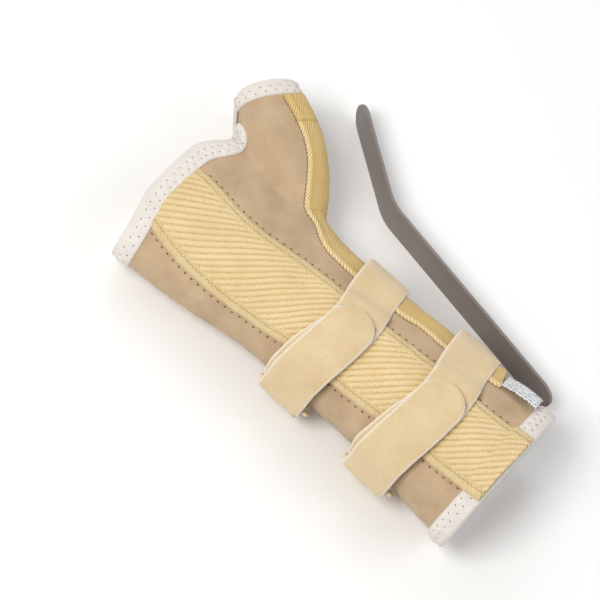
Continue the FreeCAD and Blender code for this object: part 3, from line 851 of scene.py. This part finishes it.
# Painted highlight: the pale colour marks the webbing's raised rolled edge; the darkest colour is painted
# shade between its twill cords.
WEBBING = cloth("gold_webbing", tone(0.90, 0.79, 0.54), tone(0.83, 0.705, 0.44), 2200, 0.16 * MM,
                0.85, 0.12, 0.0, ("rim", tone(0.93, 0.85, 0.66)), (1.25 * MM, tone(0.70, 0.54, 0.30)))
PILE = cloth("strap_pile", tone(0.905, 0.82, 0.665), tone(0.81, 0.70, 0.52), 1500, 0.45 * MM,
             0.95, 0.3, 0.0, ("cut_edge", tone(0.93, 0.90, 0.84)))
HOOK = cloth("hook_tape", tone(0.80, 0.75, 0.64), tone(0.66, 0.60, 0.50), 1800, 0.4 * MM)
LABEL = make_label_cloth()
GOLD_THREAD = cloth("gold_thread", tone(0.74, 0.62, 0.40), tone(0.60, 0.48, 0.28), 5000, 0.03 * MM)
SHADE_THREAD = cloth("grey_thread", tone(0.50, 0.45, 0.41), tone(0.38, 0.33, 0.30), 5000, 0.03 * MM)
BROWN_THREAD = cloth("brown_thread", tone(0.50, 0.36, 0.25), tone(0.38, 0.26, 0.18), 5000, 0.03 * MM)
NYLON = cloth("loop_nylon", tone(0.90, 0.82, 0.68), tone(0.86, 0.775, 0.63), 900, 0.02 * MM, 0.45)
STAY_METAL = metal("stay_alloy", tone(0.60, 0.565, 0.55), 0.46, 0.25, 0.5)


def paint(thing, name, values):
    """Stores one value for each point, for a material to read."""
    layer = thing.data.attributes.new(name, "FLOAT", "POINT")
    layer.data.foreach_set("value", np.array(values, np.float32))


# ---- elastic panel and its hems ----

PANEL_ROWS = 300
PANEL_COLUMNS = 64
HEM = 5 * MM
RIB_PITCH = 3.0 * MM
# The ribs' slant: how much of a step across and along the panel crosses them.
RIB_ACROSS, RIB_ALONG = 0.747, 0.665
KNIT_PITCH = 1.15 * MM
HEM_ROWS = 260
HEM_COLUMNS = 12
HEM_ZIGZAG = 2.6 * MM
HEM_THREAD_PITCH = 1.3 * MM
NEEDLE_PITCH = 4.2 * MM
# The panel's edges reach this many degrees under the hems.
HEM_OVERLAP = 3.0


def panel_grid(rows, columns, start, end):
    """Points and normals across the panel, and how far each is along and across it."""
    points = np.zeros((rows, columns, 3))
    normals = np.zeros((rows, columns, 3))
    for i in range(rows):
        at = start + (end - start) * i / (rows - 1)
        low = edge_turn(PANEL_LOW, at) - HEM_OVERLAP
        high = edge_turn(PANEL_HIGH, at) + HEM_OVERLAP
        for k in range(columns):
            place, normal = body_shape.round_sleeve(at, low + (high - low) * k / (columns - 1))
            points[i, k] = place
            normals[i, k] = normal
    points = soften(soften(points, 6, False).transpose(1, 0, 2), 3, False).transpose(1, 0, 2)
    normals = soften(soften(normals, 6, False).transpose(1, 0, 2), 3, False).transpose(1, 0, 2)
    across = np.concatenate([np.zeros((rows, 1)), np.cumsum(
        np.linalg.norm(np.diff(points, axis=1), axis=2), axis=1)], axis=1)
    along = np.tile(np.linspace(start, end, rows)[:, None], (1, columns))
    return points, normals, across, along


def rib_height(across, along, width):
    """Standing height of the slanted ribs, which bend back along both hems."""
    near_low = np.exp(-across / (5 * MM))
    near_high = np.exp(-(width - across) / (5 * MM))
    slant = RIB_ACROSS * across - RIB_ALONG * (along + 1.6 * MM * near_low - 2.2 * MM * near_high)
    phase = slant / RIB_PITCH
    rounded = np.abs(np.sin(np.pi * phase)) ** 0.8
    stitch_run = RIB_ALONG * across + RIB_ACROSS * along
    knit = 0.5 + 0.5 * np.cos(2 * np.pi * (stitch_run / KNIT_PITCH + 0.5 * np.floor(phase)))
    return rounded * (0.62 + 0.12 * knit) * MM


def tucked(points):
    """How free the panel is of the hand binding over it, and its rise over the forearm binding."""
    flat = points.reshape(-1, 3)
    at = flat[:, 0] - HAND_X
    behind = at - np.array([setback(Vector(p)) for p in flat])
    tuck = np.clip((behind - 8.2 * MM) / (2.2 * MM), 0, 1)
    over = np.clip((at - LENGTH + 11.5 * MM) / (3 * MM), 0, 1)
    over = over * over * (3 - 2 * over) * 2.5 * MM
    return tuck.reshape(points.shape[:2]), over.reshape(points.shape[:2])


def make_panel():
    start, end = 6 * MM, LENGTH + 0.6 * MM
    points, normals, across, along = panel_grid(PANEL_ROWS, PANEL_COLUMNS, start, end)
    width = across[:, -1:]
    bow = 1.6 * MM * np.clip(np.sin(np.pi * across / width), 0, 1) ** 0.7
    edge = np.minimum(across, width - across)
    settle = np.clip(edge / (1.6 * MM), 0, 1)
    tuck, over = tucked(points)
    high = 0.35 * MM + (bow + rib_height(across, along, width) * settle) * tuck + over
    uvs = np.stack([across, along], axis=2)
    low = 0.05 * MM + bow * tuck * 0.8 + over * 0.9
    panel = sheet_piece("ribbed_elastic", points, normals, low, high, uvs)
    # Painted shade: the hollows between the ribs are coloured darker.
    ribs = np.clip(rib_height(across, along, width) / (0.7 * MM), 0, 1)
    groove = (1 - ribs) ** 1.6
    paint(panel, "groove", np.concatenate([groove, groove[:, ::-1]], axis=1).ravel())
    finish_piece(panel, "sleeve", ELASTIC, ["elastic_panel"])
    hems = []
    for name, node, low_side in (("little_finger_hem", "ulnar_panel_hem", True),
                                 ("thumb_hem", "radial_panel_hem", False)):
        edge_points = []
        for i in range(HEM_ROWS):
            at = start + (end - start) * i / (HEM_ROWS - 1)
            turn = edge_turn(PANEL_LOW if low_side else PANEL_HIGH, at)
            turn += 0.6 if low_side else -0.6
            edge_points.append(body_shape.round_sleeve(at, turn)[0])
        edge_points = soften(edge_points, 10, False)
        hem_points, hem_normals = lay(body_shape, edge_points, HEM + 0.8 * MM, HEM_COLUMNS,
                                      side=-1 if low_side else 1)
        over = np.linspace(0, 1, HEM_COLUMNS)
        height = np.interp(over, [0, 0.1, 0.3, 0.6, 0.85, 1.0], [0.3, 1.1, 1.45, 1.7, 1.95, 1.2]) * MM
        run = np.linspace(0, end - start, HEM_ROWS)
        wave = 1 + 0.05 * np.sin(run / (1.1 * MM))[:, None]
        row_dip = np.exp(-((over - 0.72) / 0.10) ** 2)[None, :] * 0.34 * MM
        zig = 0.5 + 0.5 * np.sin(2 * np.pi * run / HEM_ZIGZAG)[:, None]
        tuck, over_binding = tucked(hem_points)
        high = (height[None, :] * wave - row_dip * zig) * (0.25 + 0.75 * tuck) + over_binding
        uvs = np.stack([np.tile(over * HEM, (HEM_ROWS, 1)),
                        np.tile(run[:, None], (1, HEM_COLUMNS))], axis=2)
        low = 0.02 * MM + over_binding * 0.85
        hem = sheet_piece(name, hem_points, hem_normals, low, high, uvs)
        finish_piece(hem, "sleeve", HEM_CLOTH, [node])
        hems.append((hem, hem_points, hem_normals))
    return panel, hems


# ---- sewing thread ----

def thread_dashes(name, places, normals, directions, long, wide, tall, material):
    """Short sewn stitches, each a little rounded bar lying on its cloth."""
    deselect()
    bpy.ops.mesh.primitive_uv_sphere_add(segments=6, ring_count=4, radius=0.5)
    seed = bpy.context.object
    points = [v.co.copy() for v in seed.data.vertices]
    shape = [tuple(p.vertices) for p in seed.data.polygons]
    bpy.data.objects.remove(seed)
    all_points, faces = [], []
    for place, normal, direction in zip(places, normals, directions):
        normal = Vector(normal).normalized()
        along = (Vector(direction) - normal * Vector(direction).dot(normal)).normalized()
        side = normal.cross(along)
        base = len(all_points)
        for p in points:
            all_points.append(Vector(place) + along * p.x * long + side * p.y * wide
                              + normal * p.z * tall)
        faces += [tuple(base + i for i in f) for f in shape]
    finish_piece(mesh_piece(name, all_points, faces), "sleeve", material)


def along_line(points, normals, pitch):
    """Places, normals and directions every pitch along a line of laid points."""
    run = run_along(points)
    want = np.arange(pitch / 2, run[-1], pitch)
    place = np.stack([np.interp(want, run, points[:, c]) for c in range(3)], axis=1)
    normal = np.stack([np.interp(want, run, normals[:, c]) for c in range(3)], axis=1)
    ahead = np.gradient(place, axis=0)
    return place, normal, ahead


def sew_hems(hems):
    """Zigzag thread inside each hem and the needle holes in the leatherette beside it."""
    for hem, points, normals in hems:
        column = int(0.72 * (points.shape[1] - 1))
        place, normal, ahead = along_line(points[:, column], normals[:, column], HEM_THREAD_PITCH)
        swing = np.array([0.5 if i % 2 else -0.5 for i in range(len(place))])[:, None]
        side = np.cross(ahead, normal)
        side /= np.linalg.norm(side, axis=1)[:, None]
        turned = ahead / np.linalg.norm(ahead, axis=1)[:, None] + side * swing * 2
        tuck, over = tucked(place[:, None, :])
        height = (1.72 * MM * (0.25 + 0.75 * tuck) + over)
        thread_dashes(hem.name + "_thread", place + normal * height, normal, turned, 1.5 * MM,
                      0.35 * MM, 0.3 * MM, GOLD_THREAD)
        edge = points[:, 0]
        out = points[:, 0] - points[:, 1]
        out /= np.linalg.norm(out, axis=1)[:, None]
        line = np.array([body_shape.nearest(Vector(p))[0] for p in edge + out * 1.3 * MM])
        place, normal, ahead = along_line(soften(line, 3, False), normals[:, 0], NEEDLE_PITCH)
        keep = slice(2, len(place) - 2)
        thread_dashes(hem.name + "_needle_holes", place[keep] + normal[keep] * 0.05 * MM, normal[keep],
                      ahead[keep], 1.7 * MM, 0.75 * MM, 0.35 * MM, BROWN_THREAD)


# ---- stay pocket ----

def pocket_edge():
    points = [body_shape.round_thumb(d * MM, a)[0] for d, a in POCKET_THUMB]
    points += [body_shape.round_sleeve(d * MM, a)[0] for d, a in POCKET_SLEEVE]
    return curve_through(points, 240)


def make_pocket():
    edge = soften(pocket_edge(), 8, False)
    rows, count = len(edge), 30
    points, normals = lay(body_shape, edge, POCKET_WIDTH, count, side=-1, passes=10)
    run = run_along(edge)
    over = np.linspace(0, 1, count)
    profile = np.interp(over, [0, 0.04, 0.09, 0.14, 0.2, 0.32, 0.5, 0.68, 0.8, 0.9, 0.96, 1],
                        [0.4, 1.55, 1.8, 1.35, 1.4, 2.1, 2.4, 2.1, 1.4, 1.6, 1.4, 0.3])
    full = np.clip((run[-1] - run) / (16 * MM), 0, 1)
    lift = 1.0 + 0.9 * (1 - full)[:, None] * np.sin(np.pi * over)[None, :]
    high = profile[None, :] * lift * MM
    wave = np.array([[noise.noise(Vector((r * 60, o * 3, 2.0))) for o in over] for r in run])
    high = high + wave * 0.35 * MM
    uvs = np.stack([np.tile(over * POCKET_WIDTH, (rows, 1)), np.tile(run[:, None], (1, count))], axis=2)
    mouth = (np.clip((run - run[-1] + 14 * MM) / (14 * MM), 0, 1)[:, None]
             * (np.sin(np.pi * over)[None, :] ** 0.6))
    low = 0.05 * MM + mouth * (high - 0.9 * MM)
    # Painted highlight: the raised rolled edge on the webbing's palm side is coloured paler.
    rim = np.clip((0.07 - over) / 0.03, 0, 1)
    turn_row = int(np.searchsorted(run, 62 * MM))
    for name, node, part in (("thumb_webbing", "thenar_pocket", slice(0, turn_row + 1)),
                             ("stay_webbing", "stay_pocket", slice(turn_row, rows))):
        piece = sheet_piece(name, points[part], normals[part], low[part], high[part], uvs[part])
        length = len(piece.data.vertices) // (2 * count)
        paint(piece, "rim", np.tile(np.concatenate([rim, rim[::-1]]), length))
        finish_piece(piece, "sleeve", WEBBING, [node])
    # Folded patch at the thumb end, lying on the webbing.
    last = int(np.searchsorted(run, 17 * MM))
    columns = slice(0, 17)
    patch_over = np.linspace(0, 1, 17)
    ridge = np.interp(patch_over, [0, 0.1, 0.25, 0.8, 1], [0.2, 1.0, 0.8, 0.8, 0.15]) * MM
    end_round = np.clip(np.minimum(run[:last], run[last] - run[:last]) / (1.2 * MM), 0.12, 1)
    patch_high = high[:last, columns] + ridge[None, :] * end_round[:, None]
    patch = sheet_piece("folded_patch", points[:last, columns], normals[:last, columns],
                        high[:last, columns] * 0.6, patch_high, uvs[:last, columns])
    finish_piece(patch, "sleeve", WEBBING, ["pocket_end_patch"])
    # Stitched brown line along the palm edge of the webbing.
    side = edge - points[:, 1]
    side /= np.linalg.norm(side, axis=1)[:, None]
    line = np.array([body_shape.nearest(Vector(p))[0] for p in edge + side * 0.45 * MM])
    place, normal, ahead = along_line(line, normals[:, 0], 2.3 * MM)
    thread_dashes("pocket_thread", place + normal * 0.02 * MM, normal, ahead, 2.0 * MM, 0.34 * MM,
                  0.3 * MM, BROWN_THREAD)


# ---- edge bindings ----

def make_binding(name, loop, inward, node, width):
    """A soft strip folded over an open edge, sewn through with a zigzag."""
    total = sum((Vector(a) - Vector(b)).length for a, b in zip(loop, loop[1:] + loop[:1]))
    count = int(total / (0.75 * MM))
    edge = soften(curve_through(loop[::2], count, closed=True), 14, True)
    steps_in = 14
    trial = Vector(edge[1] - edge[0]).cross(body_shape.nearest(Vector(edge[0]))[1])
    side = 1 if trial.dot(inward) > 0 else -1
    points, normals = lay(body_shape, edge, width, steps_in, side=side, closed=True, passes=12)
    across = points[:, 1] - points[:, 0]
    across = soften(across / np.linalg.norm(across, axis=1)[:, None], 6, True)
    wall = SKIN + LINING + 0.2 * MM
    top = 2.0 * MM
    # Outline from the inner top edge, over the cloth's edge and back inside.
    outline = [(b * width, top * math.sin(math.pi * b) ** 0.5 * 0.9 + 0.15 * MM)
               for b in np.linspace(0.995, 0.12, 12)]
    middle_height = -wall / 2 + 0.3 * MM
    for angle in np.linspace(75, -75, 7):
        a = math.radians(angle)
        outline.append((-1.7 * MM * math.cos(a), middle_height + (wall / 2 + 1.3 * MM) * math.sin(a)))
    outline += [(b * width, -wall - 1.0 * MM * math.cos(b * 1.9)) for b in np.linspace(0.08, 0.8, 7)]
    outline.append((0.8 * width, -wall + 0.05 * MM))
    girth = run_along(np.array(outline))
    run = run_along(edge)
    total = run[-1] + np.linalg.norm(edge[0] - edge[-1])
    pitch = total / round(total / (4.8 * MM))
    lines = ((0.34, 0.0), (0.70, 0.5))

    def on_top(i, b):
        spot = min(max(b / width, 0), 1) * (steps_in - 1)
        k = min(int(spot), steps_in - 2)
        f = spot - k
        return (points[i, k] * (1 - f) + points[i, k + 1] * f,
                normals[i, k] * (1 - f) + normals[i, k + 1] * f)

    def plump(i, b, height):
        """Height of the strip's top, full between the stitches and pulled down at each."""
        inside = b / width
        puff = (noise.noise(Vector(edge[i]) * 75) * 0.5
                + 0.25 * math.cos(4 * math.pi * run[i] / pitch)) * MM
        height += puff * math.sin(math.pi * inside) ** 0.5
        for row, offset in lines:
            phase = (run[i] / pitch + offset) % 1
            near = min(phase, 1 - phase) * pitch
            away = math.hypot(near, (inside - row) * width)
            height -= 0.8 * MM * math.exp(-(away / (0.95 * MM)) ** 2)
        return height

    rings, uvs = [], []
    for i in range(count):
        ring = []
        for (b, height), round_way in zip(outline, girth):
            base, normal = on_top(i, b)
            lift = plump(i, b, height) if height > 0.2 * MM and b > 0 else height
            ring.append(base + normal * lift + across[i] * min(b, 0))
            uvs.append((run[i], round_way))
        rings.append(ring)
    piece = sweep(name, rings, True, uvs, total)
    finish_piece(piece, "sleeve", BINDING, [node])
    places, place_normals, directions = [], [], []
    for row, offset in lines:
        for n in range(int(round(total / pitch))):
            at = (n - offset) * pitch % total
            i = int(round(np.interp(at, run, np.arange(count)))) % count
            base, normal = on_top(i, row * width)
            crown = plump(i, row * width, top * math.sin(math.pi * row) ** 0.5 * 0.9 + 0.15 * MM)
            places.append(base + normal * crown)
            place_normals.append(normal)
            ahead = Vector(edge[(i + 1) % count] - edge[i]).normalized()
            directions.append(across[i] * (1 if row < 0.5 else -1) + np.array(ahead) * 0.8)
    thread_dashes(name + "_thread", places, place_normals, directions, 1.05 * MM, 0.75 * MM, 0.5 * MM,
                  SHADE_THREAD)


# ---- straps ----

STRAP_WIDE = 25 * MM
STRAP_PLY = 3.0 * MM
WIRE = 1.1 * MM
FOLD_RADIUS = 4.1 * MM
TAB_TIP = 88.0
# A strap starts at this turn by the pocket and goes under the bar at the other.
RUN_TURNS = (-11, 170)
RUN_STEPS = 170
HOOK_PLY = 0.6 * MM
KEEPER_WIDE = 22 * MM
KEEPER_PLY = 1.3 * MM
LOOP_DROP = 10.5 * MM
LOOP_LEAN = 300
WEB_WIDE = 11 * MM
WEB_PLY = 2.0 * MM
NOTCH_REACH = 12 * MM


class StrapPath:
    """Path of a strap round the sleeve at one station, above whatever is under it."""

    def __init__(self, at):
        self.at = at
        self.centre = middle(at)
        self.turns = np.linspace(-36, 196, 233)
        radii = []
        for turn in self.turns:
            reach = [(body_shape.round_sleeve(at + shift * MM, turn)[0] - middle(at + shift * MM)).length
                     for shift in (-9, 0, 9)]
            radii.append(0.35 * max(reach) + 0.65 * sum(reach) / 3 + self.under(turn))
        self.radii = soften(radii, 24, False)

    def under(self, turn):
        """Height of the panel, hems and pocket that the strap runs over."""
        low, high = edge_turn(PANEL_LOW, self.at), edge_turn(PANEL_HIGH, self.at)
        panel = ease(turn, high - 5, high + 2) * (1 - ease(turn, low - 2, low + 5))
        top = edge_turn(POCKET_SLEEVE, self.at)
        pocket = ease(turn, top - 42, top - 34) * (1 - ease(turn, top - 2, top + 4))
        return (0.3 + 2.2 * panel + 2.1 * pocket) * MM

    def place(self, turn, lift):
        radius = float(np.interp(turn, self.turns, self.radii)) + lift
        bow = 5.5 * MM * math.exp(-((turn - 105) / 52) ** 2) - 1.5 * MM
        return self.centre + self.out(turn) * radius + Vector((bow, 0, 0))

    def out(self, turn):
        angle = math.radians(turn)
        return Vector((0, math.cos(angle), math.sin(angle)))

    def track(self, low, high, lift, count):
        turns = np.linspace(low, high, count)
        return [self.place(t, lift(t)) for t in turns], [self.out(t) for t in turns]


def half_width(run, total, tip):
    """1 along a ribbon, shrinking to a round end within tip of its far end."""
    inside = 1 - (total - run) / tip
    if inside <= 0:
        return 1.0
    return max(math.sqrt(max(1 - inside ** 2.2, 0)), 0.08)


def ribbon(name, path, ups, width, ply, fuzz=0.1 * MM, tip=None):
    """A padded strip swept along a path; its long edges are marked as cut edges."""
    path = np.array([tuple(p) for p in path])
    ups = np.array([tuple(u) for u in ups])
    count = len(path)
    ahead = soften(np.gradient(path, axis=0), 2, False)
    run = run_along(path)
    outline = [(s, 0.5 * (1 - 0.34 * abs(s) ** 8)) for s in np.linspace(-1, 1, 21)]
    outline += [(1.012, 0.15), (1.012, -0.15)]
    outline += [(s, -0.5 * (1 - 0.34 * abs(s) ** 8)) for s in np.linspace(1, -1, 21)]
    outline += [(-1.012, -0.15), (-1.012, 0.15)]
    rings, uvs, edge = [], [], []
    for i in range(count):
        forward = Vector(ahead[i]).normalized()
        up = Vector(ups[i])
        up = (up - forward * up.dot(forward)).normalized()
        side = up.cross(forward)
        half = width / 2 * (half_width(run[i], run[-1], tip) if tip else 1)
        sway = noise.noise(Vector((run[i] * 90, width * 800, 1.0))) * 0.35 * MM
        ring = []
        for s, h in outline:
            fluff = noise.noise(Vector((run[i] * 600, s * 10, h * 2))) * fuzz
            ring.append(Vector(path[i]) + side * (s * half + sway) + up * (h * ply + fluff))
            uvs.append((run[i], s * half + (width * 1.3 if h < 0 else 0)))
            edge.append(1.0 if abs(s) > 0.985 else 0.0)
        rings.append(ring)
    made = sweep(name, rings, False, uvs)
    paint(made, "cut_edge", edge)
    return made


def make_web():
    """Binding that climbs from the notch to the thumb opening, and brown stitches fanned round its foot."""
    notch = max(hand_loop, key=lambda p: p.y - 1.2 * abs(p.x - HAND_X - 11 * MM))
    far = min(thumb_loop, key=lambda p: (p - notch).length)
    points, ups = [], []
    for f in np.linspace(-0.05, 1.0, 12):
        spot, normal = body_shape.nearest(notch.lerp(far, f))
        points.append(spot + normal * 0.9 * MM)
        ups.append(normal)
    path = curve_through(points, 60)
    ups = directions_at(ups, np.linspace(0, 1, len(ups)), np.linspace(0, 1, len(path)))
    web = ribbon("web_binding", path, ups, WEB_WIDE, WEB_PLY, 0.3 * MM)
    finish_piece(web, "sleeve", BINDING)
    places, normals, directions = [], [], []
    for turn in (-70, -42, -15, 12, 40, 66):
        angle = math.radians(turn)
        spot = notch + Vector((math.cos(angle), 0.5 * math.sin(angle), 0.9 * math.sin(angle))) * NOTCH_REACH
        spot, normal = body_shape.nearest(spot + Vector((0, 0, 3 * MM)))
        places.append(spot + normal * 0.35 * MM)
        normals.append(normal)
        directions.append(spot - notch)
    thread_dashes("notch_thread", places, normals, directions, 4.0 * MM, 1.0 * MM, 0.9 * MM,
                  BROWN_THREAD)


def bar_of(side):
    """Middle of a loop's upper bar, which the fold goes round."""
    low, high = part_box(side + "_strap_fold")
    return Vector(((low[0] + high[0]) / 2, high[1] - FOLD_RADIUS, low[2] + FOLD_RADIUS))


def make_strap(side, at):
    bar = bar_of(side)
    loop_body, tab_body = side + "_loop_body", side + "_tab_body"
    route = StrapPath(at)
    step_off = WIRE + 0.2 * MM + STRAP_PLY / 2

    # From the anchor over the palm, under the bar.
    first, last = RUN_TURNS
    points, ups = route.track(first, last, lambda t: STRAP_PLY / 2 + 0.25 * MM, RUN_STEPS)
    shift = points[-1].x
    for k, point in enumerate(points):
        point.x -= 2.6 * MM * ease(first + (last - first) * k / (RUN_STEPS - 1), 100, 160)
    points.append(Vector((shift - 1.6 * MM, bar.y + step_off, bar.z + 5 * MM)))
    points.append(Vector((shift, bar.y + step_off, bar.z)))
    path = curve_through(points[:-2:6] + points[-2:], 230)
    path = soften(path, 3, False)
    where = np.linspace(0, 1, len(path))
    ups = directions_at(ups, np.linspace(0, 0.97, len(ups)), where)
    run_piece = ribbon(side + "_strap_run", path, ups, STRAP_WIDE, STRAP_PLY)
    finish_piece(run_piece, None, PILE, [side + "_strap"])
    tuple(route.place(150, 0))
    tuple(path[-1])
    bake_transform(run_piece)

    # Its sewn end, behind the pocket.
    points, ups = route.track(-27, -9, lambda t: 1.2 * MM, 30)
    anchor = ribbon(side + "_strap_root", points, ups, STRAP_WIDE + 1 * MM, 2.0 * MM)
    finish_piece(anchor, "sleeve", PILE, [side + "_strap_anchor"])

    # Round the bar and back over the palm, to a round tip.
    points, ups = [], []
    for angle in np.linspace(0, -math.pi, 13):
        outward_dir = Vector((0, math.cos(angle), math.sin(angle)))
        points.append(Vector((shift, bar.y, bar.z)) + outward_dir * step_off)
        ups.append(outward_dir)
    fold_end, fold_up = points[-1], ups[-1]
    back, back_ups = route.track(
        163, TAB_TIP, lambda t: STRAP_PLY * 1.5 + (0.55 + 1.9 * ease(t, 135, 168)) * MM, 24)
    for f in np.linspace(0.1, 0.85, 7):
        points.append(fold_end.lerp(back[0], f) + Vector((0, -0.5, 0)) * math.sin(math.pi * f) * MM)
        ups.append(fold_up.lerp(back_ups[0], f))
    path = soften(curve_through(points + back, 260), 4, False)
    spots = np.array([tuple(p) for p in points + back])
    run = run_along(spots)
    where = np.linspace(0, run[-1], len(path))
    ups = directions_at(ups + back_ups, run, where)
    tab = ribbon(side + "_strap_end", path, ups, STRAP_WIDE, STRAP_PLY, tip=STRAP_WIDE / 2)
    finish_piece(tab, None, PILE)
    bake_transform(tab)
    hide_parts(side + "_strap_fold", side + "_strap_tab")

    # Hook tape sewn under the end.
    points, ups = route.track(TAB_TIP + 4, TAB_TIP + 34, lambda t: STRAP_PLY + 0.42 * MM, 40)
    hook = ribbon(side + "_hook_tape", points, ups, STRAP_WIDE * 0.8, HOOK_PLY, 0.02 * MM)
    finish_piece(hook, tab_body, HOOK, [side + "_hook_patch"])


def make_keeper(side):
    """Webbing round a loop's lower bar, its tail sewn flat to the back of the sleeve."""
    bar = bar_of(side)
    lean = math.radians(LOOP_LEAN)
    low_bar = bar + Vector((0, math.cos(lean), math.sin(lean))) * LOOP_DROP
    toward = math.radians(-17)
    tail, normal = body_shape.nearest(low_bar + Vector((0, math.cos(toward), math.sin(toward))) * 14 * MM)
    points = [tail + normal * 0.9 * MM]
    ups = [-normal]
    for angle in np.linspace(73, 253, 17):
        radial = Vector((0, math.cos(math.radians(angle)), math.sin(math.radians(angle))))
        points.append(low_bar + radial * (WIRE + 0.85 * MM))
        ups.append(radial)
    points.append(tail + normal * 2.3 * MM)
    ups.append(normal)
    path = curve_through(points, 90)
    run = run_along(np.array([tuple(p) for p in points]))
    where = np.linspace(0, run[-1], len(path))
    ups = directions_at(ups, run, where)
    keeper = ribbon(side + "_keeper_tape", path, ups, KEEPER_WIDE, KEEPER_PLY, 0.05 * MM)
    finish_piece(keeper, "sleeve", WEBBING, [side + "_loop_keeper"])


# ---- label ----

LABEL_LONG = 20 * MM
LABEL_WIDE = 13 * MM


def make_label():
    base, normal = body_shape.round_sleeve(189.5 * MM, 33)
    start = base + normal * 1.6 * MM
    long_way = (Vector((1, 0, 0)) - normal * normal.x).normalized()
    wide_way = normal.cross(long_way)
    count_u, count_v = 24, 16
    points = np.zeros((count_u, count_v, 3))
    normals = np.zeros((count_u, count_v, 3))
    uvs = np.zeros((count_u, count_v, 2))
    for i in range(count_u):
        u = i / (count_u - 1)
        for k in range(count_v):
            v = k / (count_v - 1) - 0.5
            droop = 1.0 * MM * math.sin(math.pi * u) + 0.3 * MM * u * u
            curl = 0.8 * MM * math.cos(math.pi * v) * u
            points[i, k] = (start + long_way * u * LABEL_LONG + wide_way * v * LABEL_WIDE
                            + normal * (droop + curl))
            normals[i, k] = normal
            uvs[i, k] = (u * LABEL_LONG, v * LABEL_WIDE)
    label = sheet_piece("care_tape", points, normals, -0.15 * MM, 0.2 * MM, uvs)
    finish_piece(label, "sleeve", LABEL, ["care_label"], 40)


# ---- building it all ----

def mean(loop, axis):
    return sum(p[axis] for p in loop) / len(loop)


def on_thumb_side(loop):
    return mean(loop, 1) > LINE_Y + 30 * MM


def coat(node, material):
    """Gives a CAD piece its finish."""
    coats = bpy.data.objects[node].data.materials
    coats.clear()
    coats.append(material)


studio()
form = make_form()
wear_form(form)
body_shape = Surface(form)
cut_edges(form)
by_place = open_loops(form)
make_sleeve()
panel, hems = make_panel()
sew_hems(hems)
make_pocket()
hand_loop = min(by_place, key=lambda loop: mean(loop, 0) + LENGTH * on_thumb_side(loop))
forearm_loop = max(by_place, key=lambda loop: mean(loop, 0))
thumb_loop = [loop for loop in by_place if loop is not hand_loop and loop is not forearm_loop][0]
make_binding("hand_edge_binding", hand_loop, Vector((1, 0, 0)), "hand_binding", 10 * MM)
make_binding("forearm_edge_binding", forearm_loop, Vector((-1, 0, 0)), "forearm_binding", 9 * MM)
make_binding("thumb_edge_binding", thumb_loop, THUMB_AXIS, "thumb_binding", 8.5 * MM)
make_web()
make_strap("wrist", WRIST_X - HAND_X)
make_strap("forearm", UPPER_X - HAND_X)
make_keeper("wrist")
make_keeper("forearm")
make_label()
coat("wrist_loop", NYLON)
coat("forearm_loop", NYLON)
coat("radial_stay", STAY_METAL)
bpy.data.objects.remove(form)
